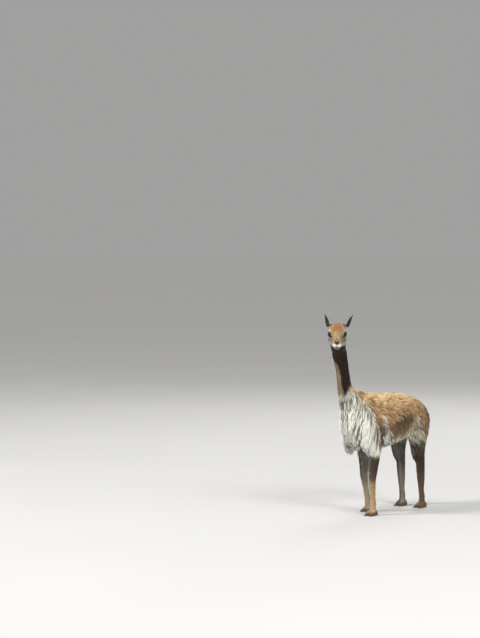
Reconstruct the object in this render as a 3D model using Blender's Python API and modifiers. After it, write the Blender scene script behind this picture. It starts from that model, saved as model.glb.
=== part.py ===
"""A vicuna standing still with its head turned to its left, life size.

Metres, +Z up. The animal faces -Y and its left side is +X. Every outline goes out to the
tips of the coat. The whole animal is modelled as one body and then parted by thin cuts.
"""
import math

import bmesh
import bpy
import numpy as np
from mathutils import Matrix, Vector

GAP = 0.0006               # width of the thin cuts between pieces
GROW = 0.0004              # clearance left round eyes, ears and nails
VOXEL = 0.004              # grain of the joined body before it is thinned out
SMOOTH_ROUNDS = 7
EDGE_ANGLE = math.radians(42.0)
BODY_TRIANGLES = 4450
# above each height, how freely triangles are given up: head, neck, trunk, legs, feet
THINNING = ((1.08, 0.3), (0.88, 0.75), (0.45, 1.0), (0.10, 0.85), (-1.0, 0.6))
THINNING_PULL = 0.015

SHOULDER_X = 0.074         # half the distance between the front feet
HIP_X = 0.082              # half the distance between the hind feet
FRONT_LEFT_Y = 0.000
FRONT_RIGHT_Y = 0.160
FRONT_RIGHT_LEAN = -0.200  # the right front leg slopes back towards its foot
HIND_Y = 0.565

HEAD_AT = (0.052, -0.366, 1.214)
HEAD_YAW = math.radians(36.0)
HEAD_PITCH = math.radians(20.0)

EYE_RADIUS = 0.0165
EYE_AT = (0.0440, 0.011, 0.020)        # side, forward, up from the middle of the head
NOSTRIL_AT = (0.0110, 0.141, 0.0170)   # side, forward, up from the middle of the head
NOSTRIL_RADII = (0.0022, 0.0080, 0.0065)
NOSTRIL_SLANT = math.radians(50.0)
EAR_LENGTH = 0.106
EAR_HALF_WIDTH = 0.0140
EAR_WIDEST = 0.36          # share of its length where an ear is widest
EAR_ROOT_WIDTH = 0.56      # width at the root, as a share of the widest
EAR_TIP_HALF_WIDTH = 0.0026
EAR_WALL = (0.0056, 0.0032)            # at the root and at the tip
EAR_CUP = (math.radians(118.0), math.radians(78.0))   # half the arc, at the root and at the tip
EAR_BULGE = 0.006
EAR_SPLAY = {1: math.radians(27.0), -1: math.radians(16.0)}
EAR_SWING = {1: math.radians(42.0), -1: math.radians(24.0)}
EAR_BACK = math.radians(12.0)
EAR_AT = (0.0560, -0.060, 0.028)       # side, forward, up from the middle of the head

# rounded forms of the head: side, backward and up from its middle, radii
CHIN = ((0.0, -0.112, -0.038), (0.020, 0.024, 0.012))
HEAD_PAIRS = {
    "lip": ((0.0130, -0.128, -0.008), (0.0190, 0.020, 0.022)),
    "brow": ((0.0400, 0.004, 0.0360), (0.0200, 0.036, 0.0185)),
    "cheek": ((0.0360, 0.014, -0.036), (0.0295, 0.054, 0.0400)),
    "jowl": ((0.0325, -0.028, -0.027), (0.0175, 0.068, 0.0310)),
    "lid": ((0.0400, -0.006, -0.005), (0.0185, 0.040, 0.0110)),
    "ear_root": ((0.0440, 0.060, 0.034), (0.018, 0.026, 0.027)),
}
TURNED_IN = {"jowl": math.radians(17.0), "lid": math.radians(17.0)}
# rounded forms of the trunk: side, y, z, radii
TRUNK_PAIRS = {
    "haunch": ((0.080, 0.515, 0.595), (0.068, 0.138, 0.145)),
    "shoulder": ((0.080, -0.010, 0.640), (0.066, 0.110, 0.150)),
}

# along the body from the chest backwards: y, top, bottom, half width
TRUNK = (
    (-0.165, 0.815, 0.600, 0.072),
    (-0.120, 0.855, 0.530, 0.105),
    (-0.050, 0.850, 0.485, 0.134),
    (0.060, 0.827, 0.455, 0.150),
    (0.180, 0.818, 0.448, 0.158),
    (0.300, 0.814, 0.470, 0.160),
    (0.420, 0.805, 0.500, 0.156),
    (0.510, 0.785, 0.508, 0.145),
    (0.580, 0.750, 0.512, 0.124),
    (0.640, 0.700, 0.525, 0.092),
    (0.675, 0.645, 0.560, 0.055),
)
# up the neck: y, z, half side, front, back
NECK = (
    (-0.105, 0.690, 0.084, 0.100, 0.090),
    (-0.172, 0.780, 0.066, 0.080, 0.080),
    (-0.212, 0.864, 0.050, 0.062, 0.058),
    (-0.228, 0.930, 0.0455, 0.056, 0.052),
    (-0.243, 1.000, 0.0450, 0.055, 0.051),
    (-0.261, 1.060, 0.0480, 0.056, 0.053),
    (-0.280, 1.120, 0.0520, 0.058, 0.057),
    (-0.298, 1.180, 0.0550, 0.056, 0.058),
    (-0.310, 1.225, 0.0500, 0.046, 0.050),
)
# from the back of the skull to the lips: forward, up, down, half side, fullness
HEAD = (
    (-0.100, 0.042, 0.050, 0.044, 2.0),
    (-0.075, 0.068, 0.068, 0.056, 2.1),
    (-0.045, 0.084, 0.076, 0.0600, 2.2),
    (-0.010, 0.078, 0.076, 0.0550, 2.2),
    (0.015, 0.062, 0.073, 0.0445, 2.1),
    (0.035, 0.050, 0.067, 0.0380, 2.1),
    (0.060, 0.040, 0.059, 0.0345, 2.1),
    (0.090, 0.035, 0.050, 0.0330, 2.1),
    (0.120, 0.031, 0.043, 0.0305, 2.2),
    (0.138, 0.021, 0.033, 0.0225, 2.2),
)
# up a front leg: z, y from the foot, half side, front, back
FORELEG = (
    (0.020, 0.000, 0.0215, 0.028, 0.024),
    (0.050, 0.002, 0.0215, 0.026, 0.026),
    (0.080, 0.004, 0.0215, 0.025, 0.030),
    (0.110, 0.002, 0.0190, 0.024, 0.026),
    (0.160, 0.000, 0.0200, 0.026, 0.028),
    (0.215, -0.004, 0.0240, 0.030, 0.031),
    (0.255, -0.003, 0.0275, 0.035, 0.033),
    (0.300, 0.004, 0.0300, 0.038, 0.042),
    (0.360, 0.012, 0.0340, 0.044, 0.052),
    (0.430, 0.020, 0.0410, 0.054, 0.064),
    (0.500, 0.020, 0.0500, 0.072, 0.080),
    (0.600, 0.010, 0.0550, 0.080, 0.090),
)
# up a hind leg: z, y from the foot, half side, front, back
HINDLEG = (
    (0.020, 0.000, 0.0215, 0.028, 0.024),
    (0.050, 0.002, 0.0215, 0.026, 0.026),
    (0.080, 0.003, 0.0210, 0.025, 0.029),
    (0.110, -0.003, 0.0190, 0.025, 0.026),
    (0.160, -0.006, 0.0215, 0.031, 0.031),
    (0.210, -0.009, 0.0250, 0.037, 0.036),
    (0.270, -0.014, 0.0280, 0.040, 0.039),
    (0.326, -0.018, 0.0310, 0.045, 0.045),
    (0.386, -0.038, 0.0370, 0.072, 0.073),
    (0.440, -0.047, 0.0470, 0.088, 0.094),
    (0.510, -0.055, 0.0640, 0.112, 0.124),
    (0.600, -0.060, 0.0720, 0.130, 0.140),
)
# along one toe from tip to heel: y, z, half side, up, down
TOE = (
    (-0.050, 0.010, 0.0100, 0.010, 0.016),
    (-0.034, 0.014, 0.0140, 0.015, 0.020),
    (-0.012, 0.019, 0.0160, 0.020, 0.026),
    (0.014, 0.021, 0.0155, 0.021, 0.028),
    (0.032, 0.020, 0.0110, 0.014, 0.026),
)
TOE_SPREAD = 0.0160
TOE_SPLAY = math.radians(4.0)
TOE_TIP_Y = -0.049         # where a nail takes over from its toe
# along one nail from point to root: y, z, half side, up, down
NAIL = (
    (-0.0680, 0.0040, 0.0030, 0.0018, 0.0060),
    (-0.0620, 0.0065, 0.0062, 0.0050, 0.0100),
    (-0.0496, 0.0100, 0.0088, 0.0095, 0.0140),
)
# the hanging tail, listed upwards: y, z, half side, front, back
TAIL = (
    (0.718, 0.440, 0.014, 0.010, 0.010),
    (0.724, 0.475, 0.028, 0.018, 0.016),
    (0.724, 0.540, 0.036, 0.024, 0.020),
    (0.706, 0.605, 0.036, 0.026, 0.022),
    (0.668, 0.660, 0.031, 0.028, 0.020),
    (0.620, 0.690, 0.025, 0.026, 0.018),
)
# locks over one side of the chest, listed upwards: side, y, z, half side, front, back
BIB_SIDE = (
    (0.082, -0.044, 0.412, 0.022, 0.016, 0.020),
    (0.080, -0.052, 0.450, 0.040, 0.034, 0.034),
    (0.076, -0.064, 0.520, 0.050, 0.056, 0.050),
    (0.070, -0.078, 0.620, 0.056, 0.074, 0.060),
    (0.060, -0.088, 0.720, 0.052, 0.074, 0.060),
    (0.045, -0.098, 0.790, 0.042, 0.060, 0.050),
)
# locks down the middle of the chest, listed upwards: y, z, half side, front, back
BIB_MIDDLE = (
    (-0.080, 0.462, 0.030, 0.020, 0.024),
    (-0.094, 0.505, 0.052, 0.040, 0.040),
    (-0.114, 0.580, 0.074, 0.064, 0.060),
    (-0.126, 0.680, 0.088, 0.080, 0.070),
    (-0.134, 0.760, 0.080, 0.080, 0.070),
    (-0.146, 0.820, 0.064, 0.074, 0.060),
)

NECK_TOP_CUT = (0.0, -0.286, 1.118)
NECK_TOP_TILT = math.radians(20.0)
NECK_BASE_CUT = (0.0, -0.190, 0.852)
NECK_BASE_TILT = math.radians(24.0)
BIB_CUT_TOP_Y = -0.168
BIB_CUT_LOW_Y = -0.040
CHEST_CUT_Y = 0.178
RUMP_CUT_Y = 0.385
TRUNK_CUT_LOW_Z = 0.420
LOW_Z = 0.400              # below the crotch
HAUNCH_CUT_FRONT_Z = 0.520
HAUNCH_CUT_BACK_Z = 0.620
BEHIND_Y = 0.800           # past the tail
FORELEG_CUT_Z = 0.388
FORELEG_CUTS = ((0.085, 0.020, FORELEG_CUT_Z), (-0.085, 0.100, FORELEG_CUT_Z))
HINDLEG_CUTS = ((0.090, 0.540, 0.425), (-0.090, 0.540, 0.425))
FOOT_CUT_Z = 0.096
MOUTH_FRONT = (0.0, -0.160, -0.022)    # side, backward, up from the middle of the head
MOUTH_CORNER = (0.0, -0.040, -0.036)
FLOOR = ((0.0, 0.2, -0.05), (1.0, 1.6, 0.1))   # middle and size of the space below the soles
TOE_TIP_BOX = (0.0315, 0.040, 0.080)   # what is cut off the tip of a toe

FEET = {
    "front_left": (SHOULDER_X, FRONT_LEFT_Y),
    "front_right": (-SHOULDER_X, FRONT_RIGHT_Y),
    "hind_left": (HIP_X, HIND_Y),
    "hind_right": (-HIP_X, HIND_Y),
}
# roughly the middle of each parted piece
SEEDS = {
    "head": (0.045, -0.360, 1.210),
    "lower_jaw": (0.100, -0.435, 1.135),
    "neck": (0.0, -0.220, 0.980),
    "bib": (0.0, -0.130, 0.620),
    "chest": (0.0, 0.040, 0.620),
    "barrel": (0.0, 0.280, 0.640),
    "rump": (0.0, 0.540, 0.690),
    "haunch_left": (0.080, 0.540, 0.500),
    "haunch_right": (-0.080, 0.540, 0.500),
    "foreleg_left": (SHOULDER_X, FRONT_LEFT_Y, 0.240),
    "foreleg_right": (-SHOULDER_X, 0.110, 0.240),
    "hindleg_left": (HIP_X, 0.540, 0.260),
    "hindleg_right": (-HIP_X, 0.540, 0.260),
    "foot_front_left": (SHOULDER_X, FRONT_LEFT_Y, 0.048),
    "foot_front_right": (-SHOULDER_X, FRONT_RIGHT_Y, 0.048),
    "foot_hind_left": (HIP_X, HIND_Y, 0.048),
    "foot_hind_right": (-HIP_X, HIND_Y, 0.048),
}
# colour and roughness by the first word of a piece's name
COLOURS = {
    "coat": ((0.44, 0.27, 0.15), 0.85),
    "bib": ((0.72, 0.68, 0.60), 0.85),
    "neck": ((0.20, 0.12, 0.07), 0.85),
    "head": ((0.42, 0.25, 0.14), 0.80),
    "lower": ((0.70, 0.65, 0.56), 0.80),
    "ear": ((0.22, 0.15, 0.10), 0.80),
    "eye": ((0.01, 0.008, 0.007), 0.10),
    "nail": ((0.05, 0.04, 0.035), 0.45),
    "foreleg": ((0.40, 0.25, 0.14), 0.80),
    "hindleg": ((0.40, 0.25, 0.14), 0.80),
    "foot": ((0.38, 0.25, 0.15), 0.80),
    "tail": ((0.30, 0.21, 0.13), 0.85),
}

UPRIGHT = (np.array((1.0, 0.0, 0.0)), np.array((0.0, 0.0, 1.0)))   # side and up


def clear_scene():
    """Leave nothing in the scene from before."""
    for thing in list(bpy.data.objects):
        bpy.data.objects.remove(thing, do_unlink=True)


def fill_in(rows, count):
    """Rows of sizes along a form, carried smoothly to more rows."""
    rows = np.array(rows, dtype=float)
    steps = np.linalg.norm(np.diff(rows[:, :3], axis=0), axis=1)
    at = np.concatenate(([0.0], np.cumsum(steps)))
    slopes = np.gradient(rows, at, axis=0)
    places = np.linspace(0.0, at[-1], count)
    seg = np.clip(np.searchsorted(at, places, side="right") - 1, 0, len(at) - 2)
    span = (at[seg + 1] - at[seg])[:, None]
    t = (places - at[seg])[:, None] / span
    start, end = rows[seg], rows[seg + 1]
    lead, trail = slopes[seg] * span, slopes[seg + 1] * span
    return (
        start * (2 * t**3 - 3 * t**2 + 1)
        + lead * (t**3 - 2 * t**2 + t)
        + end * (3 * t**2 - 2 * t**3)
        + trail * (t**3 - t**2)
    )


def mesh_object(name, points, faces, home):
    """A new object made of the given points and faces, normals outward."""
    mesh = bpy.data.meshes.new(name)
    mesh.from_pydata([tuple(p) for p in points], [], faces)
    work = bmesh.new()
    work.from_mesh(mesh)
    bmesh.ops.remove_doubles(work, verts=work.verts, dist=1e-6)
    bmesh.ops.recalc_face_normals(work, faces=work.faces)
    work.to_mesh(mesh)
    work.free()
    thing = bpy.data.objects.new(name, mesh)
    home.objects.link(thing)
    return thing


def tube(name, rows, home, rings=28, sides=32, axes=None, dome=0.5, caps=3):
    """A closed rounded form through rows of x, y, z, half side, half up, half down, fullness.

    With axes given the rings all lie in that side and up plane, otherwise they stand
    square to the line through the rows.
    """
    rows = fill_in(rows, rings)
    middles = rows[:, :3]
    lines = np.gradient(middles, axis=0)
    lines /= np.linalg.norm(lines, axis=1)[:, None]
    points = []
    turn = np.linspace(0.0, 2 * math.pi, sides, endpoint=False)
    cos, sin = np.cos(turn), np.sin(turn)

    def ring(row, line, middle, scale):
        if axes is None:
            side = np.array((1.0, 0.0, 0.0))
            side = side - line * side.dot(line)
            side /= np.linalg.norm(side)
            up = np.cross(side, line)
        else:
            side, up = axes
        power = 2.0 / row[6]
        across = np.sign(cos) * np.abs(cos) ** power * row[3] * scale
        rise = np.sign(sin) * np.abs(sin) ** power * scale
        rise = np.where(sin > 0, rise * row[4], rise * row[5])
        points.extend(middle + across[:, None] * side + rise[:, None] * up)

    first = min(rows[0][3], rows[0][4]) * dome
    last = min(rows[-1][3], rows[-1][4]) * dome
    for k in range(caps, 0, -1):
        angle = k / (caps + 0.5) * math.pi / 2
        ring(rows[0], lines[0], middles[0] - lines[0] * first * math.sin(angle), math.cos(angle))
    for k in range(rings):
        ring(rows[k], lines[k], middles[k], 1.0)
    for k in range(1, caps + 1):
        angle = k / (caps + 0.5) * math.pi / 2
        ring(rows[-1], lines[-1], middles[-1] + lines[-1] * last * math.sin(angle), math.cos(angle))
    count = rings + 2 * caps
    faces = []
    for k in range(count - 1):
        for j in range(sides):
            i = (j + 1) % sides
            faces.append((k * sides + j, k * sides + i, (k + 1) * sides + i, (k + 1) * sides + j))
    faces.append(tuple(range(sides)))
    faces.append(tuple((count - 1) * sides + j for j in range(sides)))
    return mesh_object(name, points, faces, home)


def ball(name, middle, radii, home, turn=None, segments=24, rings=14):
    """A closed ellipsoid."""
    mesh = bpy.data.meshes.new(name)
    work = bmesh.new()
    bmesh.ops.create_uvsphere(work, u_segments=segments, v_segments=rings, radius=1.0)
    work.to_mesh(mesh)
    work.free()
    shape = Matrix.Diagonal(Vector((*radii, 1.0)))
    mesh.transform(Matrix.Translation(middle) @ (turn or Matrix.Identity(4)) @ shape)
    thing = bpy.data.objects.new(name, mesh)
    home.objects.link(thing)
    return thing


def box(name, middle, size, home, turn=None):
    """A closed box with the given full sizes."""
    mesh = bpy.data.meshes.new(name)
    work = bmesh.new()
    bmesh.ops.create_cube(work, size=1.0)
    work.to_mesh(mesh)
    work.free()
    shape = Matrix.Diagonal(Vector((*size, 1.0)))
    mesh.transform(Matrix.Translation(middle) @ (turn or Matrix.Identity(4)) @ shape)
    thing = bpy.data.objects.new(name, mesh)
    home.objects.link(thing)
    return thing


def only(thing):
    """Make one object the selected and active one."""
    bpy.ops.object.select_all(action="DESELECT")
    thing.select_set(True)
    bpy.context.view_layer.objects.active = thing


def settle(thing, modifier):
    """Fix a modifier's result into the object's mesh."""
    only(thing)
    bpy.ops.object.modifier_apply(modifier=modifier.name)


def join(things, name):
    """Join objects into one."""
    bpy.ops.object.select_all(action="DESELECT")
    for thing in things:
        thing.select_set(True)
    bpy.context.view_layer.objects.active = things[0]
    bpy.ops.object.join()
    things[0].name = name
    return things[0]


def carve(target, cutter, keep_cutter=False):
    """Take one closed form away from another."""
    modifier = target.modifiers.new("carve", "BOOLEAN")
    modifier.operation = "DIFFERENCE"
    modifier.solver = "EXACT"
    modifier.object = cutter
    settle(target, modifier)
    if not keep_cutter:
        bpy.data.objects.remove(cutter, do_unlink=True)


def grown(thing, by, home):
    """A copy of a closed form, larger by a small clearance."""
    copy = thing.copy()
    copy.data = thing.data.copy()
    home.objects.link(copy)
    work = bmesh.new()
    work.from_mesh(copy.data)
    work.normal_update()
    for vert in work.verts:
        vert.co += vert.normal * by
    work.to_mesh(copy.data)
    work.free()
    return copy


def head_frame():
    """From head measures (left, backward, up) to the standing animal."""
    pitch = Matrix.Rotation(HEAD_PITCH, 4, "X")
    yaw = Matrix.Rotation(HEAD_YAW, 4, "Z")
    return Matrix.Translation(HEAD_AT) @ yaw @ pitch


def leg_rows(profile, x, y, lean):
    """Rows of a leg standing at the given place."""
    return [
        (x, y + shift + lean * z, z, half, front, back, 2.0)
        for z, shift, half, front, back in profile
    ]


def foot_forms(name, x, y, home):
    """The two toes of a foot."""
    toes = []
    for side, label in ((1, "outer"), (-1, "inner")):
        turn = Matrix.Rotation(side * TOE_SPLAY, 4, "Z")
        rows = [(0.0, b, z, half, up, down, 2.4) for b, z, half, up, down in TOE]
        toe = tube(f"{name}_{label}", rows, home, rings=14, sides=20)
        toe.data.transform(Matrix.Translation((x + side * TOE_SPREAD, y, 0.0)) @ turn)
        toes.append(toe)
    return toes


def nail_form(name, x, y, side, home):
    """One nail at the tip of a toe."""
    turn = Matrix.Rotation(side * TOE_SPLAY, 4, "Z")
    rows = [(0.0, b, z, half, up, down, 2.2) for b, z, half, up, down in NAIL]
    nail = tube(name, rows, home, rings=3, sides=8, axes=UPRIGHT, dome=0.0, caps=0)
    nail.data.transform(Matrix.Translation((x + side * TOE_SPREAD, y, 0.0)) @ turn)
    return nail


def ear_form(name, side, home):
    """A pointed cupped ear, open to the front."""
    rings, arc = 10, 6
    inner_arc = 0.94           # the inner face stops short of the rim
    set_back = 0.4             # share of the radius by which the cup's middle lies back
    points, faces = [], []
    for k in range(rings):
        t = k / (rings - 1)
        if t < EAR_WIDEST:
            share = EAR_ROOT_WIDTH + (1.0 - EAR_ROOT_WIDTH) * t / EAR_WIDEST
        else:
            share = math.cos((t - EAR_WIDEST) / (1.0 - EAR_WIDEST) * math.pi / 2) ** 0.8
        width = max(EAR_HALF_WIDTH * share, EAR_TIP_HALF_WIDTH)
        cup = EAR_CUP[0] + (EAR_CUP[1] - EAR_CUP[0]) * t
        wall = EAR_WALL[0] + (EAR_WALL[1] - EAR_WALL[0]) * t
        bend = EAR_BULGE * math.sin(t * math.pi)
        radius = width / math.sin(min(cup, math.pi / 2))
        outer = np.linspace(-cup, cup, arc)
        inner = outer[::-1] * inner_arc
        for size, span in ((radius, outer), (max(radius - wall, 0.0005), inner)):
            for angle in span:
                depth = size * math.cos(angle) - radius * set_back
                points.append((size * math.sin(angle), depth + bend, t * EAR_LENGTH))
    loop = 2 * arc
    for k in range(rings - 1):
        for j in range(loop):
            i = (j + 1) % loop
            faces.append((k * loop + j, k * loop + i, (k + 1) * loop + i, (k + 1) * loop + j))
    for end in (0, rings - 1):
        for j in range(arc - 1):
            a, b = end * loop + j, end * loop + j + 1
            c, d = end * loop + loop - 2 - j, end * loop + loop - 1 - j
            faces.append((a, b, c, d))
    ear = mesh_object(name, points, faces, home)
    lean = Matrix.Rotation(side * EAR_SPLAY[side], 4, "Y") @ Matrix.Rotation(-EAR_BACK, 4, "X")
    swing = Matrix.Rotation(side * EAR_SWING[side], 4, "Z")
    upright = Matrix.Rotation(-HEAD_PITCH, 4, "X")
    place = Matrix.Translation((side * EAR_AT[0], -EAR_AT[1], EAR_AT[2]))
    ear.data.transform(head_frame() @ place @ upright @ lean @ swing)
    return ear


def head_forms(home):
    """The skull, jaws, lips and brows, in their place on the neck."""
    rows = [(0.0, -f, 0.0, half, up, down, full) for f, up, down, half, full in HEAD]
    forms = [tube("skull", rows, home, rings=30, sides=36, axes=UPRIGHT, dome=0.35)]
    forms.append(ball("chin", *CHIN, home))
    for side in (1, -1):
        for name, ((across, back, up), radii) in HEAD_PAIRS.items():
            inward = Matrix.Rotation(-side * TURNED_IN.get(name, 0.0), 4, "Z")
            forms.append(ball(name, (side * across, back, up), radii, home, inward))
    for form in forms:
        form.data.transform(head_frame())
    return forms


def body_forms(home):
    """Every form that the joined body is made of."""
    rows = [
        (0.0, y, (top + low) / 2, half, (top - low) / 2, (top - low) / 2, 2.2)
        for y, top, low, half in TRUNK
    ]
    forms = [tube("trunk", rows, home, rings=40, sides=40, axes=UPRIGHT, dome=0.5)]
    rows = [(0.0, y, z, half, front, back, 2.0) for y, z, half, front, back in NECK]
    forms.append(tube("neck", rows, home, rings=36, sides=32, dome=0.6))
    rows = [(0.0, y, z, half, front, back, 2.0) for y, z, half, front, back in BIB_MIDDLE]
    forms.append(tube("bib_middle", rows, home, dome=0.8))
    for side in (1, -1):
        rows = [
            (side * x, y, z, half, front, back, 2.0) for x, y, z, half, front, back in BIB_SIDE
        ]
        forms.append(tube("bib_side", rows, home, dome=0.8))
        for name, ((across, y, z), radii) in TRUNK_PAIRS.items():
            forms.append(ball(name, (side * across, y, z), radii, home))
    for name, (x, y) in FEET.items():
        profile = FORELEG if name.startswith("front") else HINDLEG
        lean = FRONT_RIGHT_LEAN if name == "front_right" else 0.0
        rows = leg_rows(profile, x, y, lean)
        forms.append(tube(name, rows, home, rings=44, sides=24, dome=0.4))
        forms += foot_forms(name, x, y, home)
    return forms + head_forms(home)


def smooth_skin(body):
    """Join the overlapping forms into one closed skin and ease the joints."""
    modifier = body.modifiers.new("join", "REMESH")
    modifier.mode = "VOXEL"
    modifier.voxel_size = VOXEL
    settle(body, modifier)
    modifier = body.modifiers.new("ease", "SMOOTH")
    modifier.factor = 0.5
    modifier.iterations = SMOOTH_ROUNDS
    settle(body, modifier)


def thin_out(body):
    """Fewer triangles, with more of them kept for the head and the feet."""
    group = body.vertex_groups.new(name="plain")
    for vert in body.data.vertices:
        weight = next(weight for low, weight in THINNING if vert.co.z > low)
        group.add([vert.index], weight, "REPLACE")
    triangles = sum(len(face.vertices) - 2 for face in body.data.polygons)
    modifier = body.modifiers.new("thin", "DECIMATE")
    modifier.ratio = BODY_TRIANGLES / triangles
    modifier.vertex_group = group.name
    modifier.vertex_group_factor = THINNING_PULL
    modifier.use_collapse_triangulate = True
    settle(body, modifier)
    body.vertex_groups.clear()


def slab(home, middle, size, tilt_x=0.0, tilt_z=0.0):
    """A thin closed slab that parts the body where it passes."""
    turn = Matrix.Rotation(tilt_z, 4, "Z") @ Matrix.Rotation(tilt_x, 4, "X")
    return box("slab", middle, (size[0], size[1], GAP), home, turn)


def parting_slabs(home):
    """The thin cuts between head, jaw, neck, bib, trunk, haunches, legs and feet."""
    wide, high = 0.60, 0.50
    slabs = [slab(home, NECK_TOP_CUT, (0.26, 0.24), tilt_x=NECK_TOP_TILT)]
    slabs.append(slab(home, NECK_BASE_CUT, (0.30, 0.26), tilt_x=NECK_BASE_TILT))

    # the bib's cut runs from the neck's cut down to the cut across the front legs
    low = Vector((0.0, BIB_CUT_LOW_Y, FORELEG_CUT_Z))
    rise = math.tan(NECK_BASE_TILT)
    top_y = BIB_CUT_TOP_Y
    top = Vector((0.0, top_y, NECK_BASE_CUT[2] + rise * (top_y - NECK_BASE_CUT[1])))
    line = top - low
    tilt = math.atan2(line.z, line.y)
    slabs.append(slab(home, (low + top) / 2, (wide, line.length), tilt_x=tilt))

    for y in (CHEST_CUT_Y, RUMP_CUT_Y):
        middle = (0.0, y, TRUNK_CUT_LOW_Z + high / 2)
        slabs.append(slab(home, middle, (wide, high), tilt_x=math.radians(90.0)))

    # each haunch is parted from the rump by a slanted cut, and from the other in the middle
    front = Vector((0.0, RUMP_CUT_Y, HAUNCH_CUT_FRONT_Z))
    back = Vector((0.0, BEHIND_Y, HAUNCH_CUT_BACK_Z))
    line = back - front
    tilt = math.atan2(line.z, line.y)
    slabs.append(slab(home, (front + back) / 2, (wide, line.length), tilt_x=tilt))
    corners = [
        (x, y, z)
        for x in (-GAP / 2, GAP / 2)
        for y, z in ((front.y, front.z), (back.y, back.z), (back.y, LOW_Z), (front.y, LOW_Z))
    ]
    faces = [(0, 1, 2, 3), (4, 5, 6, 7)] + [(k, (k + 1) % 4, (k + 1) % 4 + 4, k + 4) for k in range(4)]
    slabs.append(mesh_object("slab", corners, faces, home))

    for middle in FORELEG_CUTS:
        slabs.append(slab(home, middle, (0.15, 0.20)))
    for middle in HINDLEG_CUTS:
        slabs.append(slab(home, middle, (0.17, 0.30)))
    for x, y in FEET.values():
        slabs.append(slab(home, (x, y, FOOT_CUT_Z), (0.10, 0.12)))

    # the lower jaw: along the mouth, then down behind it
    jaw_wide, jaw_deep = 0.16, 0.10
    lips, corner = Vector(MOUTH_FRONT), Vector(MOUTH_CORNER)
    line = corner - lips
    tilt = math.atan2(line.z, line.y)
    mouth = slab(home, (lips + corner) / 2, (jaw_wide, line.length), tilt_x=tilt)
    mouth.data.transform(head_frame())
    slabs.append(mouth)
    middle = corner + Vector((0.0, 0.0, -jaw_deep / 2))
    hinge = slab(home, middle, (jaw_wide, jaw_deep), tilt_x=math.radians(90.0))
    hinge.data.transform(head_frame())
    slabs.append(hinge)
    return slabs


def loose_parts(thing):
    """The separate closed parts of a mesh, as objects."""
    only(thing)
    bpy.ops.object.mode_set(mode="EDIT")
    bpy.ops.mesh.select_all(action="SELECT")
    bpy.ops.mesh.separate(type="LOOSE")
    bpy.ops.object.mode_set(mode="OBJECT")
    return list(bpy.context.selected_objects)


def corners_of(thing):
    """All points of a mesh."""
    return np.array([vert.co[:] for vert in thing.data.vertices])


def middle_of(thing):
    """The middle of a mesh's bounding box."""
    points = corners_of(thing)
    return (points.min(axis=0) + points.max(axis=0)) / 2


def paint(thing, name, colour, roughness):
    """Give a piece its own plain material."""
    material = bpy.data.materials.new(name)
    material.use_nodes = True
    shader = material.node_tree.nodes["Principled BSDF"]
    shader.inputs["Base Color"].default_value = (*colour, 1.0)
    shader.inputs["Roughness"].default_value = roughness
    thing.data.materials.clear()
    thing.data.materials.append(material)
    thing.data.shade_smooth()
    thing.data.set_sharp_from_angle(angle=EDGE_ANGLE)


def main():
    clear_scene()
    pieces = bpy.data.collections.new("vicuna")
    cutters = bpy.data.collections.new("cutters")
    for group in (pieces, cutters):
        bpy.context.scene.collection.children.link(group)

    body = join(body_forms(pieces), "body")
    smooth_skin(body)
    thin_out(body)

    tail_rows = [(0.0, y, z, half, front, back, 2.0) for y, z, half, front, back in TAIL]
    made = {"tail": tube("tail", tail_rows, pieces, rings=8, sides=8, dome=0.9, caps=2)}
    swollen = grown(body, GROW, cutters)
    for side, label in ((1, "left"), (-1, "right")):
        made[f"ear_{label}"] = ear_form(f"ear_{label}", side, pieces)
    for name in ("tail", "ear_left", "ear_right"):
        carve(made[name], swollen, keep_cutter=True)
    bpy.data.objects.remove(swollen, do_unlink=True)

    for side, label in ((1, "left"), (-1, "right")):
        across, forward, up = EYE_AT
        middle = head_frame() @ Vector((side * across, -forward, up))
        radii = (EYE_RADIUS,) * 3
        made[f"eye_{label}"] = ball(f"eye_{label}", middle, radii, pieces, None, 14, 8)
        radii = (EYE_RADIUS + GROW,) * 3
        carve(body, ball("socket", middle, radii, cutters, None, 14, 8))
        slant = Matrix.Rotation(side * NOSTRIL_SLANT, 4, "Y")
        nostril = ball("nostril", (side * NOSTRIL_AT[0], -NOSTRIL_AT[1], NOSTRIL_AT[2]),
                       NOSTRIL_RADII, cutters, slant, 8, 6)
        nostril.data.transform(head_frame())
        carve(body, nostril)
    for cutter in parting_slabs(cutters):
        carve(body, cutter)
    carve(body, box("floor", *FLOOR, cutters))
    for x, y in FEET.values():
        for side in (1, -1):
            turn = Matrix.Rotation(side * TOE_SPLAY, 4, "Z")
            tip = box("tip", (0.0, TOE_TIP_Y - TOE_TIP_BOX[1] / 2, 0.02), TOE_TIP_BOX, cutters)
            tip.data.transform(Matrix.Translation((x + side * TOE_SPREAD, y, 0.0)) @ turn)
            carve(body, tip)

    for part in loose_parts(body):
        place = middle_of(part)
        made[min(SEEDS, key=lambda name: np.linalg.norm(place - SEEDS[name]))] = part

    for foot, (x, y) in FEET.items():
        for side, label in ((1, "a"), (-1, "b")):
            name = f"nail_{foot}_{label}"
            made[name] = nail_form(name, x, y, side, pieces)
            carve(made[name], box("floor", *FLOOR, cutters))

    points = np.vstack([corners_of(thing) for thing in made.values()])
    low, high = points.min(axis=0), points.max(axis=0)
    shift = Matrix.Translation((-(low[0] + high[0]) / 2, -(low[1] + high[1]) / 2, 0.0))
    for name, thing in made.items():
        thing.name = name
        thing.data.name = name
        thing.data.transform(shift)
        colour, roughness = COLOURS.get(name.split("_")[0], COLOURS["coat"])
        paint(thing, name, colour, roughness)


main()
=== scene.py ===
import math

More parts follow.
